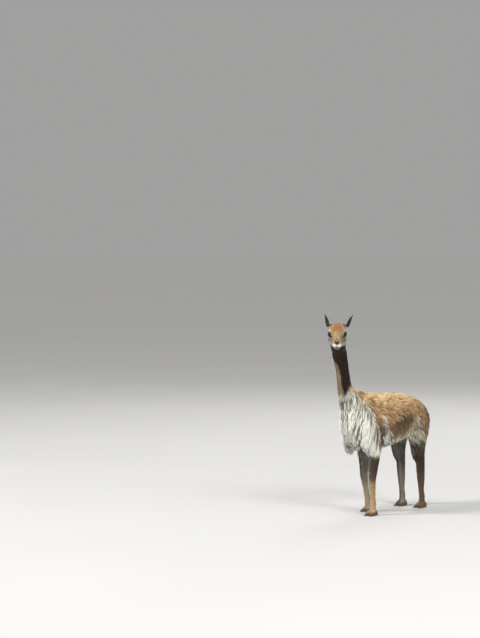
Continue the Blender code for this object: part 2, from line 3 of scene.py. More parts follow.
import bmesh
import bpy
import numpy as np
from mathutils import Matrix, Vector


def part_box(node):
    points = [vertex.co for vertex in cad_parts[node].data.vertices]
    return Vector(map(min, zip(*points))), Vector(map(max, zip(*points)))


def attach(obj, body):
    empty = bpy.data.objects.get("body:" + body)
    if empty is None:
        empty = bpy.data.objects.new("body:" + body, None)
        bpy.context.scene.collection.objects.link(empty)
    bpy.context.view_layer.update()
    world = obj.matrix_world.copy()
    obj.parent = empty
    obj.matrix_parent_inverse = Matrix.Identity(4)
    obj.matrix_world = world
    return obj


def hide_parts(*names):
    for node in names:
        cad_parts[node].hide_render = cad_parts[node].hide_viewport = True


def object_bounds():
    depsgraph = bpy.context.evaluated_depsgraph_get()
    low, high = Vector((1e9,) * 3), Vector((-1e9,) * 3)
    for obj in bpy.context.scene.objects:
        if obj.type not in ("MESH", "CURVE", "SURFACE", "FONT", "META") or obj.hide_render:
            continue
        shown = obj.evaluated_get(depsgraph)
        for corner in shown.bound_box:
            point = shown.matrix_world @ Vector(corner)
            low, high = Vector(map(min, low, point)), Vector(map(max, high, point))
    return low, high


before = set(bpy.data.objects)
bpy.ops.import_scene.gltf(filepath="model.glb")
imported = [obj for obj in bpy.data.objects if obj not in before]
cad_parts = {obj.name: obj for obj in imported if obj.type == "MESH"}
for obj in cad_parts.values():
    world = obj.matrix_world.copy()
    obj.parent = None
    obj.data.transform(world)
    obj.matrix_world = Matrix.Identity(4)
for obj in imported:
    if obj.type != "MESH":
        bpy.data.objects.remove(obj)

import openvdb
from mathutils import Matrix, Vector
from mathutils.kdtree import KDTree

CAD_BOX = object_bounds()

FLESH = (
    "head", "lower_jaw", "ear_left", "ear_right", "neck", "bib", "chest", "barrel", "rump",
    "haunch_left", "haunch_right", "tail", "foreleg_left", "foreleg_right", "hindleg_left",
    "hindleg_right",
)
FEET = ("foot_front_left", "foot_front_right", "foot_hind_left", "foot_hind_right")

FINE = 0.002               # grain of the skin
COARSE = 0.004             # grain of the coat's depth
CLOSE = 0.001              # closes the thin cuts between the solids
ROOM = 0.024               # left free round the solids on the grids
LAYERS = 44                # of the coarse grid, worked on at a time
SKIN_TRIANGLES = 140000
LARGEST_PIECE = 199000     # triangles in one piece of coat
PATCH = 0.003              # size of a tuft's patch on the flat map
CELL_KEYS = (73856093, 19349663, 83492791)      # large primes that tell cells of a grid apart
CLUMPS = 100000            # most clumps in one piece of coat
HEAD_PITCH = math.radians(20.0)
EYE_MIDDLE = (0.0, -0.011, 0.020)      # between the eyes: side, backward, up in the head
# the sloping planes where the head and the neck begin: height at a y, slope, blur
HEAD_PLANE = (1.118, -0.414, math.radians(20.0), 0.020)
NECK_PLANE = (0.835, -0.318, math.radians(30.0), 0.035)

# the ears' roots and tips in the head: side, backward, up
EAR_LINES = (((0.057, 0.061, 0.028), (0.103, 0.112, 0.108)),
             ((-0.057, 0.061, 0.028), (-0.084, 0.115, 0.115)))

EYE_TURN = math.radians(34.0)          # how far each eye looks forward from sideways
EYE_RISE = 0.10
EYE_SLANT = math.radians(22.0)         # the corner at the nose lies lower
OPENING = (0.0166, 0.0094)             # half length and half height between the lids
LID = 0.0022
LID_REACH = 0.007                      # bare skin round the eyeball
NOSTRIL = (0.0112, -0.141, 0.0165)     # side, backward, up in the head
NOSTRIL_LINE = (0.77, 0.64)            # side and up along a nostril
MOUTH_FRONT = (-0.160, -0.022)         # backward and up in the head
MOUTH_SLOPE = -0.1167
MOUTH_CORNER = -0.078
FACE_BACK = 0.014                      # the face's finer hair ends here, backward in the head
PASTERN = 0.19                         # below this height the legs' hair is short and fine
HIND = 0.20                            # behind this y the legs are the hind legs

# how deep the skin lies under the tips of the coat, by height
DEPTH = ((0.0, 0.0), (0.006, 0.0010), (0.030, 0.0030), (0.120, 0.0035), (0.300, 0.0050),
         (0.400, 0.0090), (0.480, 0.0180), (0.560, 0.0220))
NECK_DEPTH = ((0.850, 0.0160), (1.000, 0.0110), (1.120, 0.0078))
TAIL_DEPTH = 0.0145
LID_DEPTH = 0.0012
# how long the locks are, by height
LENGTHS = {
    "trunk": ((0.42, 0.085), (0.50, 0.080), (0.60, 0.062), (0.70, 0.055), (0.78, 0.045),
              (0.86, 0.038)),
    "breast": ((0.46, 0.110), (0.60, 0.160), (0.72, 0.130), (0.80, 0.085), (0.90, 0.060)),
    "neck": ((0.78, 0.055), (0.90, 0.040), (1.10, 0.028)),
    "leg": ((0.00, 0.005), (0.05, 0.008), (0.15, 0.012), (0.30, 0.017), (0.40, 0.038),
            (0.47, 0.060)),
    "tail": ((0.0, 0.060), (1.0, 0.060)),
}

# the breast's skin behind the hanging locks: height, foremost y
BREAST = (
    (0.000, -0.900), (0.330, -0.300), (0.390, -0.160), (0.420, -0.170), (0.500, -0.208),
    (0.600, -0.262), (0.700, -0.308), (0.780, -0.338), (0.840, -0.372), (0.900, -0.440),
    (1.400, -0.900),
)
BREAST_ROUND = 2.2         # how fast the breast falls back to the sides
BREAST_BLEND = 0.024
# y of the neck's middle line, by height
NECK_AXIS = ((0.780, -0.310), (0.864, -0.340), (0.930, -0.356), (1.000, -0.371),
             (1.060, -0.389), (1.120, -0.408), (1.300, -0.440))
# how squarely the skin of the throat faces its pale stripe where that ends, by height
THROAT_EDGE = ((0.740, 0.20), (0.800, 0.57), (0.855, 0.80), (0.920, 0.84), (0.990, 0.87),
               (1.030, 0.95), (1.060, 1.06))
# the way that the stripe faces, turned from the front to the animal's right, by height, with the
# painted sunlight on that side
THROAT_TURN = ((0.800, 0.0), (0.860, 5.0), (0.920, 12.0), (0.990, 22.0), (1.060, 34.0))
# the front edge of the white behind the elbow: height, y
PATCH_EDGE = ((0.440, -0.010), (0.500, -0.030), (0.587, -0.064), (0.660, -0.092), (0.70, -0.11))
SHADED_HOLLOW = ((0.135, 0.606), (0.110, 0.048))      # y and z of the flank's dark hollow, partly its brown and partly painted shade, and its half sizes
# the white of the breast ends at this y, by height
WHITE_EDGE = (
    (0.380, -0.100), (0.454, -0.095), (0.507, -0.078), (0.564, -0.120), (0.635, -0.172),
    (0.716, -0.206), (0.757, -0.229), (0.797, -0.247), (0.825, -0.272), (0.850, -0.320),
    (0.900, -0.420),
)
# the white of the belly and thigh rises to this height, by y
WHITE_RISE = (
    (-0.130, 0.640), (-0.082, 0.662), (-0.050, 0.610), (0.000, 0.545),
    (0.060, 0.500), (0.180, 0.500), (0.250, 0.560), (0.300, 0.668), (0.340, 0.660),
    (0.385, 0.560), (0.420, 0.480), (0.470, 0.440), (0.560, 0.420),
)

CAMERA_AT = (7.9413, -10.9687, 1.78)
CAMERA_BACK = (0.63939, -0.76811, 0.03448)
SENSOR = 36.0
FOCAL, PHOTO_HEIGHT = 2000.0, 638.0    # in pixels


def screen(*levels):
    """A colour from its levels on a screen, 0 to 255."""
    share = np.array(levels) / 255.0
    return np.where(share <= 0.04045, share / 12.92, ((share + 0.055) / 1.055) ** 2.4)


CINNAMON = screen(208, 167, 117)
# partly paler hair, partly painted sunlight on the top of the back
BLEACHED_AND_SUNLIT = screen(224, 190, 138)
BROWN = screen(126, 98, 64)
# painted shade: the neck's dark over its cinnamon, also under the chin
NECK_PAINTED_SHADE = screen(54, 37, 30)
# partly the throat's paler hair, partly painted sunlight on the neck's right side
THROAT_PALE_AND_SUNLIT = screen(172, 150, 122)
WHITE = screen(246, 245, 230)
CREAM = screen(220, 212, 188)
RUFOUS = screen(204, 146, 88)
GOLD = screen(214, 172, 120)
BRIDGE = screen(204, 170, 122)
GREY = screen(150, 144, 134)
# painted sunlight on the legs' cinnamon
LEG_SUNLIT_TAN = screen(178, 148, 106)
# painted shade on the legs' cinnamon
LEG_SHADED_BROWN = screen(88, 70, 56)
BLACK_SKIN = screen(26, 20, 18)
# the ears' dark back and dim inside: partly their own colour, partly painted shade
EAR_DARK_AND_SHADED = screen(26, 21, 18)
EAR_INNER_SHADED = screen(64, 57, 49)


def ease(low, high, value):
    """0 below low and 1 above high, smoothly between."""
    t = np.clip((value - low) / (high - low), 0.0, 1.0)
    return t * t * (3.0 - 2.0 * t)


def follow(pairs, value):
    """A measure that changes along another, by pairs of the two."""
    at, measure = np.array(pairs).T
    return np.interp(value, at, measure)


def columns(*parts):
    """Rows of an array from the values of each of its columns."""
    return np.stack(parts, axis=1)


def sizes(vectors):
    """How long each vector is."""
    return np.linalg.norm(vectors, axis=-1)


def dots(ones, others):
    """How far each direction agrees with another."""
    return np.einsum("ij,ij->i", ones, others)


def unit(vectors):
    """The same directions at length 1."""
    return vectors / np.maximum(sizes(vectors), 1e-9)[..., None]


def cell_corners(part):
    """The eight corners of a cell of a grid, each with its weight at a place in the cell."""
    for corner in np.ndindex(2, 2, 2):
        yield corner, np.prod(np.where(corner, part, 1.0 - part), axis=1)


def clouds(points, size, seed):
    """Smooth random values from -1 to 1, of about the given size in space."""
    cells = 16
    table = np.random.default_rng(seed).uniform(-1.0, 1.0, (cells,) * 3)
    place = points / size
    cell = np.floor(place).astype(int)
    part = place - cell
    part = part * part * (3.0 - 2.0 * part)
    total = np.zeros(len(points))
    for corner, weight in cell_corners(part):
        total += weight * table[tuple(((cell + corner) % cells).T)]
    return total


def paint_over(colour, new, share):
    """Colours or directions turned towards new ones by a share from 0 to 1."""
    return colour + (np.asarray(new) - colour) * np.clip(share, 0.0, 1.0)[:, None]


class Paint:
    """Colours or directions of many points, laid over one another."""

    def __init__(self, first, count=None):
        self.now = first if count is None else np.tile(first, (count, 1))

    def over(self, new, share):
        self.now = paint_over(self.now, new, share)


class Field:
    """Values on a grid in space, read anywhere between its points."""

    def __init__(self, values, corner, step):
        self.values, self.corner, self.step = values, np.array(corner), step
        self.rows = (values.shape[1] * values.shape[2], values.shape[2], 1)

    def at(self, points):
        place = (points - self.corner) / self.step
        place = np.clip(place, 0.0, np.array(self.values.shape) - 1.001)
        cell = place.astype(np.int64)
        part = place - cell
        first = cell @ np.array(self.rows)
        flat = self.values.ravel()
        total = np.zeros(len(points))
        for corner, weight in cell_corners(part):
            total += weight * flat[first + int(np.dot(corner, self.rows))]
        return total

    def slope(self, points):
        """The direction in which the values grow fastest."""
        reach = np.eye(3) * self.step
        return unit(columns(*(self.at(points + way) - self.at(points - way) for way in reach)))


def middle(node):
    """The middle of a node's box."""
    low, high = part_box(node)
    return (Vector(low) + Vector(high)) / 2


def head_matrix():
    """From head measures (side, backward, up) to the standing animal, found from the eyes."""
    left, right = middle("eye_left"), middle("eye_right")
    across = left - right
    turn = Matrix.Rotation(math.atan2(across.y, across.x), 4, "Z")
    turn = turn @ Matrix.Rotation(HEAD_PITCH, 4, "X")
    return Matrix.Translation((left + right) / 2 - turn @ Vector(EYE_MIDDLE)) @ turn


HEAD = head_matrix()
TO_HEAD = np.array(HEAD.inverted())
FROM_HEAD = np.array(HEAD)
EYE_RADIUS = (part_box("eye_left")[1].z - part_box("eye_left")[0].z) / 2
EYES = {1: np.array(middle("eye_left")), -1: np.array(middle("eye_right"))}
FEET_AT = np.array([middle(name) for name in FEET])
TAIL_BOX = np.array([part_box("tail")[0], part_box("tail")[1]])


def in_head(points):
    """Points in head measures: side, backward, up."""
    return points @ TO_HEAD[:3, :3].T + TO_HEAD[:3, 3]


def from_head(vectors):
    """Directions in head measures turned to the standing animal."""
    return vectors @ FROM_HEAD[:3, :3].T


def past_plane(points, plane):
    """1 above a sloping plane, 0 below it."""
    height, y, slope, blur = plane
    return ease(-blur, blur, points[:, 2] - height - math.tan(slope) * (points[:, 1] - y))


def head_share(points):
    """1 on the head, 0 below the throat."""
    return past_plane(points, HEAD_PLANE)


def neck_share(points):
    """1 on the neck, 0 on the head and the trunk."""
    return past_plane(points, NECK_PLANE) * (1.0 - head_share(points))


def ear_share(points):
    """1 on the ears, from a little above their roots."""
    head = in_head(points)
    share = np.zeros(len(points))
    for root, tip in EAR_LINES:
        root, line = np.array(root), np.array(tip) - np.array(root)
        line = line / np.linalg.norm(line)
        along = (head - root) @ line
        off = sizes(head - root - along[:, None] * line)
        share = np.maximum(share, ease(0.008, 0.018, along) * ease(0.036, 0.030, off))
    return share


def tail_share(points):
    """1 on the hanging part of the tail."""
    x, y, z = points.T
    behind = y - 0.35 * (z - 0.6) * (z > 0.6)
    return ease(0.012, 0.0, np.abs(x) - 0.036) * ease(0.555, 0.567, behind)


def leg_share(points):
    """1 on the legs below the trunk."""
    return ease(0.47, 0.38, points[:, 2]) * (1.0 - tail_share(points))


def to_eye(points, side):
    """How far points lie from the middle of one eye."""
    return sizes(points - EYES[side])


def to_eyes(points):
    """How far points lie from the middle of the nearer eye."""
    return np.minimum(to_eye(points, 1), to_eye(points, -1))


def coat_depth(points):
    """How deep the skin lies below the tips of the coat."""
    z, back = points[:, 2], in_head(points)[:, 1]
    neck, head, tail = neck_share(points), head_share(points), tail_share(points)
    depth = follow(DEPTH, z) * (1.0 - neck) + follow(NECK_DEPTH, z) * neck
    face = 0.0048 - 0.0030 * ease(-0.060, -0.110, back) + 0.0030 * ease(-0.02, 0.05, back)
    face = LID_DEPTH + (face - LID_DEPTH) * ease(0.020, 0.034, to_eyes(points))
    depth = depth * (1.0 - head) + face * head
    depth = depth * (1.0 - tail) + TAIL_DEPTH * tail
    return depth * (1.0 - ear_share(points))


def read(things, what, kind=np.float32):
    """Three values of each of a mesh's points or triangles."""
    values = np.empty(len(things) * 3, kind)
    things.foreach_get(what, values)
    return values.reshape(-1, 3)


def points_of(thing):
    """Places of a mesh's points."""
    return read(thing.data.vertices, "co").astype(float)


def normals_of(thing):
    """The ways that a mesh faces at its points."""
    return read(thing.data.vertex_normals, "vector").astype(float)


def corners_of(mesh):
    """The three points of each triangle, by number."""
    mesh.calc_loop_triangles()
    return read(mesh.loop_triangles, "vertices", np.int32)


def flesh_points():
    """Points and triangles of the flesh and the eyes, doubles merged."""
    points, faces, start = [], [], 0
    for name in FLESH + FEET + ("eye_left", "eye_right"):
        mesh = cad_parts[name].data
        points.append(read(mesh.vertices, "co"))
        faces.append(corners_of(mesh) + start)
        start += len(points[-1])
    points, faces = np.vstack(points), np.vstack(faces)
    same, where = np.unique(np.round(points / 1e-5).astype(int), axis=0, return_inverse=True)
    merged = np.zeros((len(same), 3))
    merged[where.ravel()] = points
    return merged, where.ravel()[faces].astype(np.uint32)


def level_set(points, step, reach, triangles=None, quads=None):
    """Distances to a closed surface, inside negative, out to a number of steps."""
    parts = {"triangles": triangles} if quads is None else {"triangles": triangles, "quads": quads}
    return openvdb.FloatGrid.createLevelSetFromPolygons(
        points, transform=openvdb.createLinearTransform(voxelSize=step), halfWidth=reach, **parts)


def soften(values, rounds):
    """Each value eased towards its neighbours."""
    for _ in range(rounds):
        for axis in range(3):
            ahead, behind = np.roll(values, 1, axis), np.roll(values, -1, axis)
            values = (ahead + behind + 2.0 * values) / 4.0
    return values


def refine(values):
    """The same grid at half the step."""
    for axis in range(3):
        values = np.moveaxis(values, axis, 0)
        finer = np.empty((2 * len(values) - 1,) + values.shape[1:], np.float32)
        finer[::2] = values
        finer[1::2] = (values[:-1] + values[1:]) / 2
        values = np.moveaxis(finer, 0, axis)
    return values


def blend_out(one, other, width):
    """What lies within both of two fields, with the edge between them rounded."""
    share = np.clip(0.5 + 0.5 * (one - other) / width, 0.0, 1.0)
    return other * (1.0 - share) + one * share + width * share * (1.0 - share)


def body_fields():
    """The coat's outer surface as a field, and the skin's fine grid."""
    points, faces = flesh_points()
    rough = level_set(points, FINE, 3.0, triangles=faces)
    points, triangles, quads = rough.convertToPolygons(isovalue=CLOSE, adaptivity=0.0)
    fine = level_set(points, FINE, 5.0, triangles, quads)
    wide = level_set(points, COARSE, 16.0, triangles, quads)
    low = np.floor((np.array(CAD_BOX[0]) - ROOM) / COARSE).astype(int)
    high = np.ceil((np.array(CAD_BOX[1]) + ROOM) / COARSE).astype(int)
    outer = np.empty(high - low + 1, np.float32)
    wide.copyToArray(outer, ijk=tuple(int(v) for v in low))
    outer = soften(outer + CLOSE, 2)
    ways = [np.arange(a, b + 1) * COARSE for a, b in zip(low, high)]
    # depth and breast are worked out inside the surface and close to it
    near = np.argwhere(outer < 0.012)
    places = columns(*(way[rows] for way, rows in zip(ways, near.T)))
    depth = np.full(outer.shape, 0.010, np.float32)
    depth[tuple(near.T)] = coat_depth(places)
    breast = np.full(outer.shape, -0.05, np.float32)
    front = follow(BREAST, places[:, 2]) + BREAST_ROUND * places[:, 0] ** 2
    breast[tuple(near.T)] = np.maximum((front - places[:, 1]) * 0.8, -0.05)
    grid = openvdb.FloatGrid(0.006)
    grid.transform = openvdb.createLinearTransform(voxelSize=FINE)
    for first in range(0, outer.shape[2] - 1, LAYERS):
        part = np.s_[:, :, first:first + LAYERS + 1]
        smooth, deep, front = refine(outer[part]), refine(depth[part]), refine(breast[part])
        near = np.empty(smooth.shape, np.float32)
        corner = (int(low[0]) * 2, int(low[1]) * 2, (int(low[2]) + first) * 2)
        fine.copyToArray(near, ijk=corner)
        near += CLOSE
        mix = ease(0.0050, 0.0085, np.abs(near))
        heights = np.arange(near.shape[2]) * FINE + corner[2] * FINE
        # the smoothed field serves the trunk and neck, the exact one the head and the feet
        trunk = (ease(0.36, 0.44, heights) * ease(1.12, 1.06, heights))[None, None, :]
        mix = np.maximum(mix, trunk)
        near = near * (1.0 - mix) + smooth * mix
        skin = np.clip(blend_out(near + deep, front, BREAST_BLEND), -0.006, 0.006)
        grid.copyFromArray(skin.astype(np.float32), ijk=corner, tolerance=0.0)
    return Field(outer, low * COARSE, COARSE), grid


def quick_mesh(name, points, triangles):
    """A smooth object made of many triangles at once."""
    mesh = bpy.data.meshes.new(name)
    mesh.vertices.add(len(points))
    mesh.vertices.foreach_set("co", np.ascontiguousarray(points, np.float32).ravel())
    mesh.loops.add(triangles.size)
    mesh.loops.foreach_set("vertex_index", np.ascontiguousarray(triangles, np.int32).ravel())
    mesh.polygons.add(len(triangles))
    mesh.polygons.foreach_set("loop_start", np.arange(0, triangles.size, 3, dtype=np.int32))
    mesh.update(calc_edges=True)
    mesh.polygons.foreach_set("use_smooth", np.full(len(triangles), True))
    thing = bpy.data.objects.new(name, mesh)
    bpy.context.scene.collection.objects.link(thing)
    return thing


def only(thing):
    """Make one object the selected and active one."""
    bpy.ops.object.select_all(action="DESELECT")
    thing.select_set(True)
    bpy.context.view_layer.objects.active = thing


def smooth_look(thing):
    """Shade an object as one rounded surface."""
    only(thing)
    bpy.ops.object.shade_smooth()


def edit(thing, change, **settings):
    """Run a change on the whole of a mesh in edit mode."""
    only(thing)
    bpy.ops.object.mode_set(mode="EDIT")
    bpy.ops.mesh.select_all(action="SELECT")
    change(**settings)
    bpy.ops.object.mode_set(mode="OBJECT")


def settle(thing, kind, **settings):
    """Add a modifier with its settings and apply it."""
    only(thing)
    modifier = thing.modifiers.new(kind.lower(), kind)
    for key, value in settings.items():
        setattr(modifier, key, value)
    bpy.ops.object.modifier_apply(modifier=modifier.name)


def put_points(thing, points):
    """Move a mesh's points to new places."""
    thing.data.vertices.foreach_set("co", np.ascontiguousarray(points, np.float32).ravel())
    thing.data.update()


def weigh(thing, name, parts):
    """Give a mesh one group of points, from pairs of chosen points and their weight."""
    thing.vertex_groups.clear()
    group = thing.vertex_groups.new(name=name)
    for chosen, weight in parts:
        group.add(np.flatnonzero(chosen).tolist(), weight, "REPLACE")


def skin_mesh(grid):
    """The bare skin, finest on the head and the feet."""
    points, triangles, quads = grid.convertToPolygons(isovalue=0.0, adaptivity=0.02)
    faces = np.vstack([triangles, quads[:, (0, 1, 2)], quads[:, (0, 2, 3)]]).astype(np.int64)
    a, b, c = points[faces[:, 0]], points[faces[:, 1]], points[faces[:, 2]]
    if np.einsum("ij,ij->", a, np.cross(b, c)) < 0:
        faces = faces[:, ::-1]
    skin = quick_mesh("skin", points, faces)
    settle(skin, "SMOOTH", factor=0.5, iterations=4)
    places = points_of(skin)
    weigh(skin, "face", [((head_share(places) > 0.5) & (ear_share(places) < 0.01), 1.0)])
    settle(skin, "SMOOTH", factor=0.5, iterations=14, vertex_group="face")
    heights = points_of(skin)[:, 2]
    weigh(skin, "plain", [((heights >= low) & (heights < high), weight) for low, high, weight in (
        (-1.0, 0.10, 0.5), (0.10, 1.08, 1.0), (1.08, 2.0, 0.15))])
    settle(skin, "DECIMATE", ratio=SKIN_TRIANGLES / len(skin.data.polygons), vertex_group="plain",
           vertex_group_factor=0.10, use_collapse_triangulate=True)
    skin.vertex_groups.clear()
    return skin


def eye_axes(side):
    """Outward, towards the nose and up across one eye."""
    out = unit(np.array((side * math.cos(EYE_TURN), -math.sin(EYE_TURN), EYE_RISE)))
    nose = np.array((0.0, -1.0, 0.0))
    nose = unit(nose - out * out.dot(nose))
    up = np.cross(nose, out) * side
    up = up * np.sign(up[2])
    c, s = math.cos(EYE_SLANT), math.sin(EYE_SLANT)
    return from_head(np.stack([out, c * nose - s * up, s * nose + c * up]))


def eye_opening(points, side):
    """How far points lie outside the opening between the lids, measured on the eyeball."""
    out, nose, up = eye_axes(side)
    way = unit(points - EYES[side])
    flat = columns(way @ nose, way @ up)
    turned = np.arccos(np.clip(way @ out, -1.0, 1.0)) * EYE_RADIUS
    along, across = (unit(flat) * turned[:, None]).T
    return np.abs(across) - OPENING[1] * (1.0 - (along / OPENING[0]) ** 2)


def nostril_share(head):
    """1 in the slits of the nostrils."""
    across, back, up = np.abs(head[:, 0]) - NOSTRIL[0], head[:, 1] - NOSTRIL[1], head[:, 2]
    up = up - NOSTRIL[2]
    along = across * NOSTRIL_LINE[0] + up * NOSTRIL_LINE[1]
    off = across * NOSTRIL_LINE[1] - up * NOSTRIL_LINE[0]
    return np.exp(-(off / 0.0034) ** 2) * ease(0.0100, 0.0060, np.abs(along)) * (back < 0.022)


def mouth_share(head):
    """1 along the line of the mouth."""
    line = MOUTH_FRONT[1] + MOUTH_SLOPE * (head[:, 1] - MOUTH_FRONT[0])
    fade = ease(MOUTH_CORNER + 0.010, MOUTH_CORNER - 0.006, head[:, 1])
    return np.exp(-((head[:, 2] - line) / 0.0016) ** 2) * fade


def cleft_share(head):
    """1 in the cleft between the nostrils and the mouth."""
    side, back, up = head.T
    height = ease(-0.026, -0.018, up) * ease(0.012, 0.004, up)
    return np.exp(-(side / 0.0012) ** 2) * height * (back < -0.105)


def split_where(thing, chosen, longest):
    """Split the edges round the chosen points until they are short."""
    work = bmesh.new()
    work.from_mesh(thing.data)
    places = np.array([vert.co[:] for vert in work.verts])
    inside = chosen(places)
    work.verts.ensure_lookup_table()
    edges = [edge for edge in work.edges
             if inside[edge.verts[0].index] and inside[edge.verts[1].index]
             and edge.calc_length() > longest]
    bmesh.ops.subdivide_edges(work, edges=edges, cuts=1, use_grid_fill=True)
    bmesh.ops.triangulate(work, faces=[face for face in work.faces if len(face.verts) > 3])
    work.to_mesh(thing.data)
    work.free()


def face_zone(points):
    """Round the eyes and on the muzzle, where the skin is finest."""
    muzzle = (in_head(points)[:, 1] < -0.085) & (head_share(points) > 0.5)
    return (to_eyes(points) < EYE_RADIUS + 0.008) | muzzle


def shape_face(skin):
    """Lids, nostrils, mouth and cleft."""
    for longest in (0.0018, 0.0013):
        split_where(skin, face_zone, longest)
    points, normals = points_of(skin), normals_of(skin)
    for side in (1, -1):
        out, _, up = eye_axes(side)
        away = points - EYES[side]
        reach = sizes(away)
        way = away / reach[:, None]
        edge = eye_opening(points, side)
        above = ease(-0.2, 0.2, way @ up)
        rim = EYE_RADIUS - 0.003 + (0.003 + LID) * ease(-0.0010, 0.0010, edge)
        rim = rim + 0.0010 * np.exp(-((edge - 0.0030) / 0.0020) ** 2) * (0.6 + 1.4 * above)
        rim = rim - 0.0009 * np.exp(-((edge - 0.0078) / 0.0018) ** 2) * above
        rim = np.maximum(rim, np.where(edge > 0.004, reach - 0.0015, 0.0))
        share = ease(0.28, 0.50, way @ out) * (reach < EYE_RADIUS + 0.012)
        points = points + way * ((rim - reach) * share)[:, None]
    head = in_head(points)
    inward = 0.0065 * nostril_share(head)
    points = points + from_head(np.array((0.0, 1.0, -0.1))) * inward[:, None]
    groove = 0.0030 * mouth_share(head) + 0.0016 * cleft_share(head)
    points = points - normals * groove[:, None]
    points[:, 2] = np.maximum(points[:, 2], 0.0002)
    put_points(skin, points)


# colour, middle (side, backward, up in the head), radii
FACE_MARKS_AND_SHADE = (
    (RUFOUS * 0.68, (0.000, 0.005, 0.080), (0.070, 0.075, 0.052)),
    (GOLD * 0.70, (0.044, 0.000, 0.066), (0.022, 0.050, 0.022)),
    (CREAM * 0.85, (0.056, 0.004, 0.046), (0.014, 0.026, 0.012)),
    (CREAM * 0.85, (0.062, 0.040, 0.018), (0.016, 0.016, 0.016)),
    (BRIDGE * 0.72, (0.000, -0.085, 0.030), (0.032, 0.075, 0.026)),
    (BRIDGE * 0.60, (0.036, -0.030, 0.022), (0.018, 0.032, 0.018)),
    (BRIDGE * 0.55, (0.030, -0.066, 0.006), (0.020, 0.046, 0.020)),
    # painted shade: the cheek below each eye greyed over its pale hair
    (CREAM * 0.34, (0.046, -0.008, -0.014), (0.032, 0.054, 0.032)),
    (WHITE * 0.52, (0.034, -0.045, -0.040), (0.036, 0.075, 0.018)),
    (WHITE * 0.80, (0.018, -0.136, -0.008), (0.017, 0.024, 0.012)),
    (BRIDGE * 0.36, (0.000, -0.122, 0.030), (0.013, 0.016, 0.009)),
    (GREY * 0.24, (0.000, -0.148, 0.012), (0.017, 0.020, 0.012)),
    (GREY * 0.5, (0.000, -0.158, -0.012), (0.006, 0.012, 0.010)),
    # painted shade: the chin greyed under the muzzle
    (GREY * 0.36, (0.000, -0.140, -0.042), (0.022, 0.026, 0.012)),
    (GREY, (0.052, 0.034, -0.058), (0.030, 0.030, 0.022)),
)


def blob(head, middle_at, radii):
    """1 within an ellipsoid of head measures on either side, fading across its surface."""
    mirrored = columns(np.abs(head[:, 0]), head[:, 1], head[:, 2])
    return ease(1.25, 0.75, sizes((mirrored - middle_at) / radii))


def head_colours(points, normals):
    """Colours of the head's hair, by place, with painted shade where noted."""
    head = in_head(points)
    side, back, up = head.T
    loose = head + 0.004 * clouds(points, 0.02, 31)[:, None]
    coat = Paint(CINNAMON * 0.62, len(points))
    coat.over(CREAM * 0.62, ease(0.020, -0.015, loose[:, 2]) * ease(0.045, 0.020, back))
    coat.over(BROWN * 0.8, ease(0.045, -0.010, loose[:, 2]) * ease(0.030, 0.070, loose[:, 1]))
    # painted shade under the chin
    coat.over(NECK_PAINTED_SHADE, ease(-0.026, -0.058, loose[:, 2]) * ease(-0.030, 0.020, back))
    # the nape's cinnamon darkened, partly painted shade
    nape = ease(0.60, 0.98, normals[:, 1]) * ease(0.030, 0.070, back) * ease(0.020, -0.030, up)
    coat.over(CINNAMON * 0.55, nape)
    for shade, middle_at, radii in FACE_MARKS_AND_SHADE:
        coat.over(shade, blob(loose, middle_at, radii))
    for eye in (1, -1):
        near = to_eye(points, eye) < EYE_RADIUS + LID_REACH
        coat.over(BLACK_SKIN, ease(0.0090, 0.0052, eye_opening(points, eye)) * near)
    coat.over(BLACK_SKIN, 0.85 * blob(head, (0.038, -0.026, 0.007), (0.0080, 0.018, 0.0065)))
    coat.over(BROWN * 0.5, blob(head, (0.0, -0.128, 0.030), (0.004, 0.008, 0.006)))
    # the lower lip, the nostrils, the mouth line, the nose's middle and the cleft painted dark:
    # partly dark skin, partly painted shade in these slits and creases and under the lip
    lip = np.exp(-((up - MOUTH_FRONT[1]) / 0.0046) ** 2) * ease(-0.125, -0.140, back)
    coat.over(BLACK_SKIN, 0.9 * lip * ease(0.022, 0.010, np.abs(side)))
    dark = np.maximum(nostril_share(head) * 1.6, mouth_share(head) * 1.3)
    bridge = blob(head, (0.0, -0.142, 0.009), (0.0065, 0.02, 0.0060))
    coat.over(BLACK_SKIN, np.maximum(dark, bridge))
    coat.over(GREY * 0.3, 0.9 * cleft_share(head))
    turn = np.where(side > 0, math.radians(42.0), math.radians(-24.0))
    hollow = from_head(columns(np.sin(turn), -np.cos(turn), 0.0 * turn))
    # the ears: partly their own dark colour, partly painted shade
    ear = Paint(EAR_DARK_AND_SHADED, len(points))
    ear.over(EAR_INNER_SHADED, ease(0.30, 0.70, dots(normals, hollow)))
    ears = ear_share(points)[:, None]
    return coat.now * (1.0 - ears) + ear.now * ears


def leg_colours(points):
    """Colours of the legs' hair: pale inside; outside their cinnamon as a brown, painted shadow of
    the body, darker on the hind legs, and as a tan, painted sunlight, low on the front legs.
    """
    x, y, z = points.T
    front = y < HIND
    # painted shadow of the body on the legs, darker on the hind legs
    coat = Paint(np.where(front[:, None], LEG_SHADED_BROWN, LEG_SHADED_BROWN * 0.75))
    # painted sunlight low on the front legs, below the body's shadow
    low = ease(0.27, 0.20, z + 0.015 * clouds(points, 0.03, 12))
    coat.over(LEG_SUNLIT_TAN, low * np.where(front, 1.0, 0.12))
    inner = ease(0.006, -0.014, np.abs(x) - np.where(front, 0.074, 0.082))
    coat.over(GREY * 1.1, inner * np.where(front, 0.9, 0.6))
    coat.over(BROWN * 0.6, ease(0.040, 0.012, z))
    return coat.now


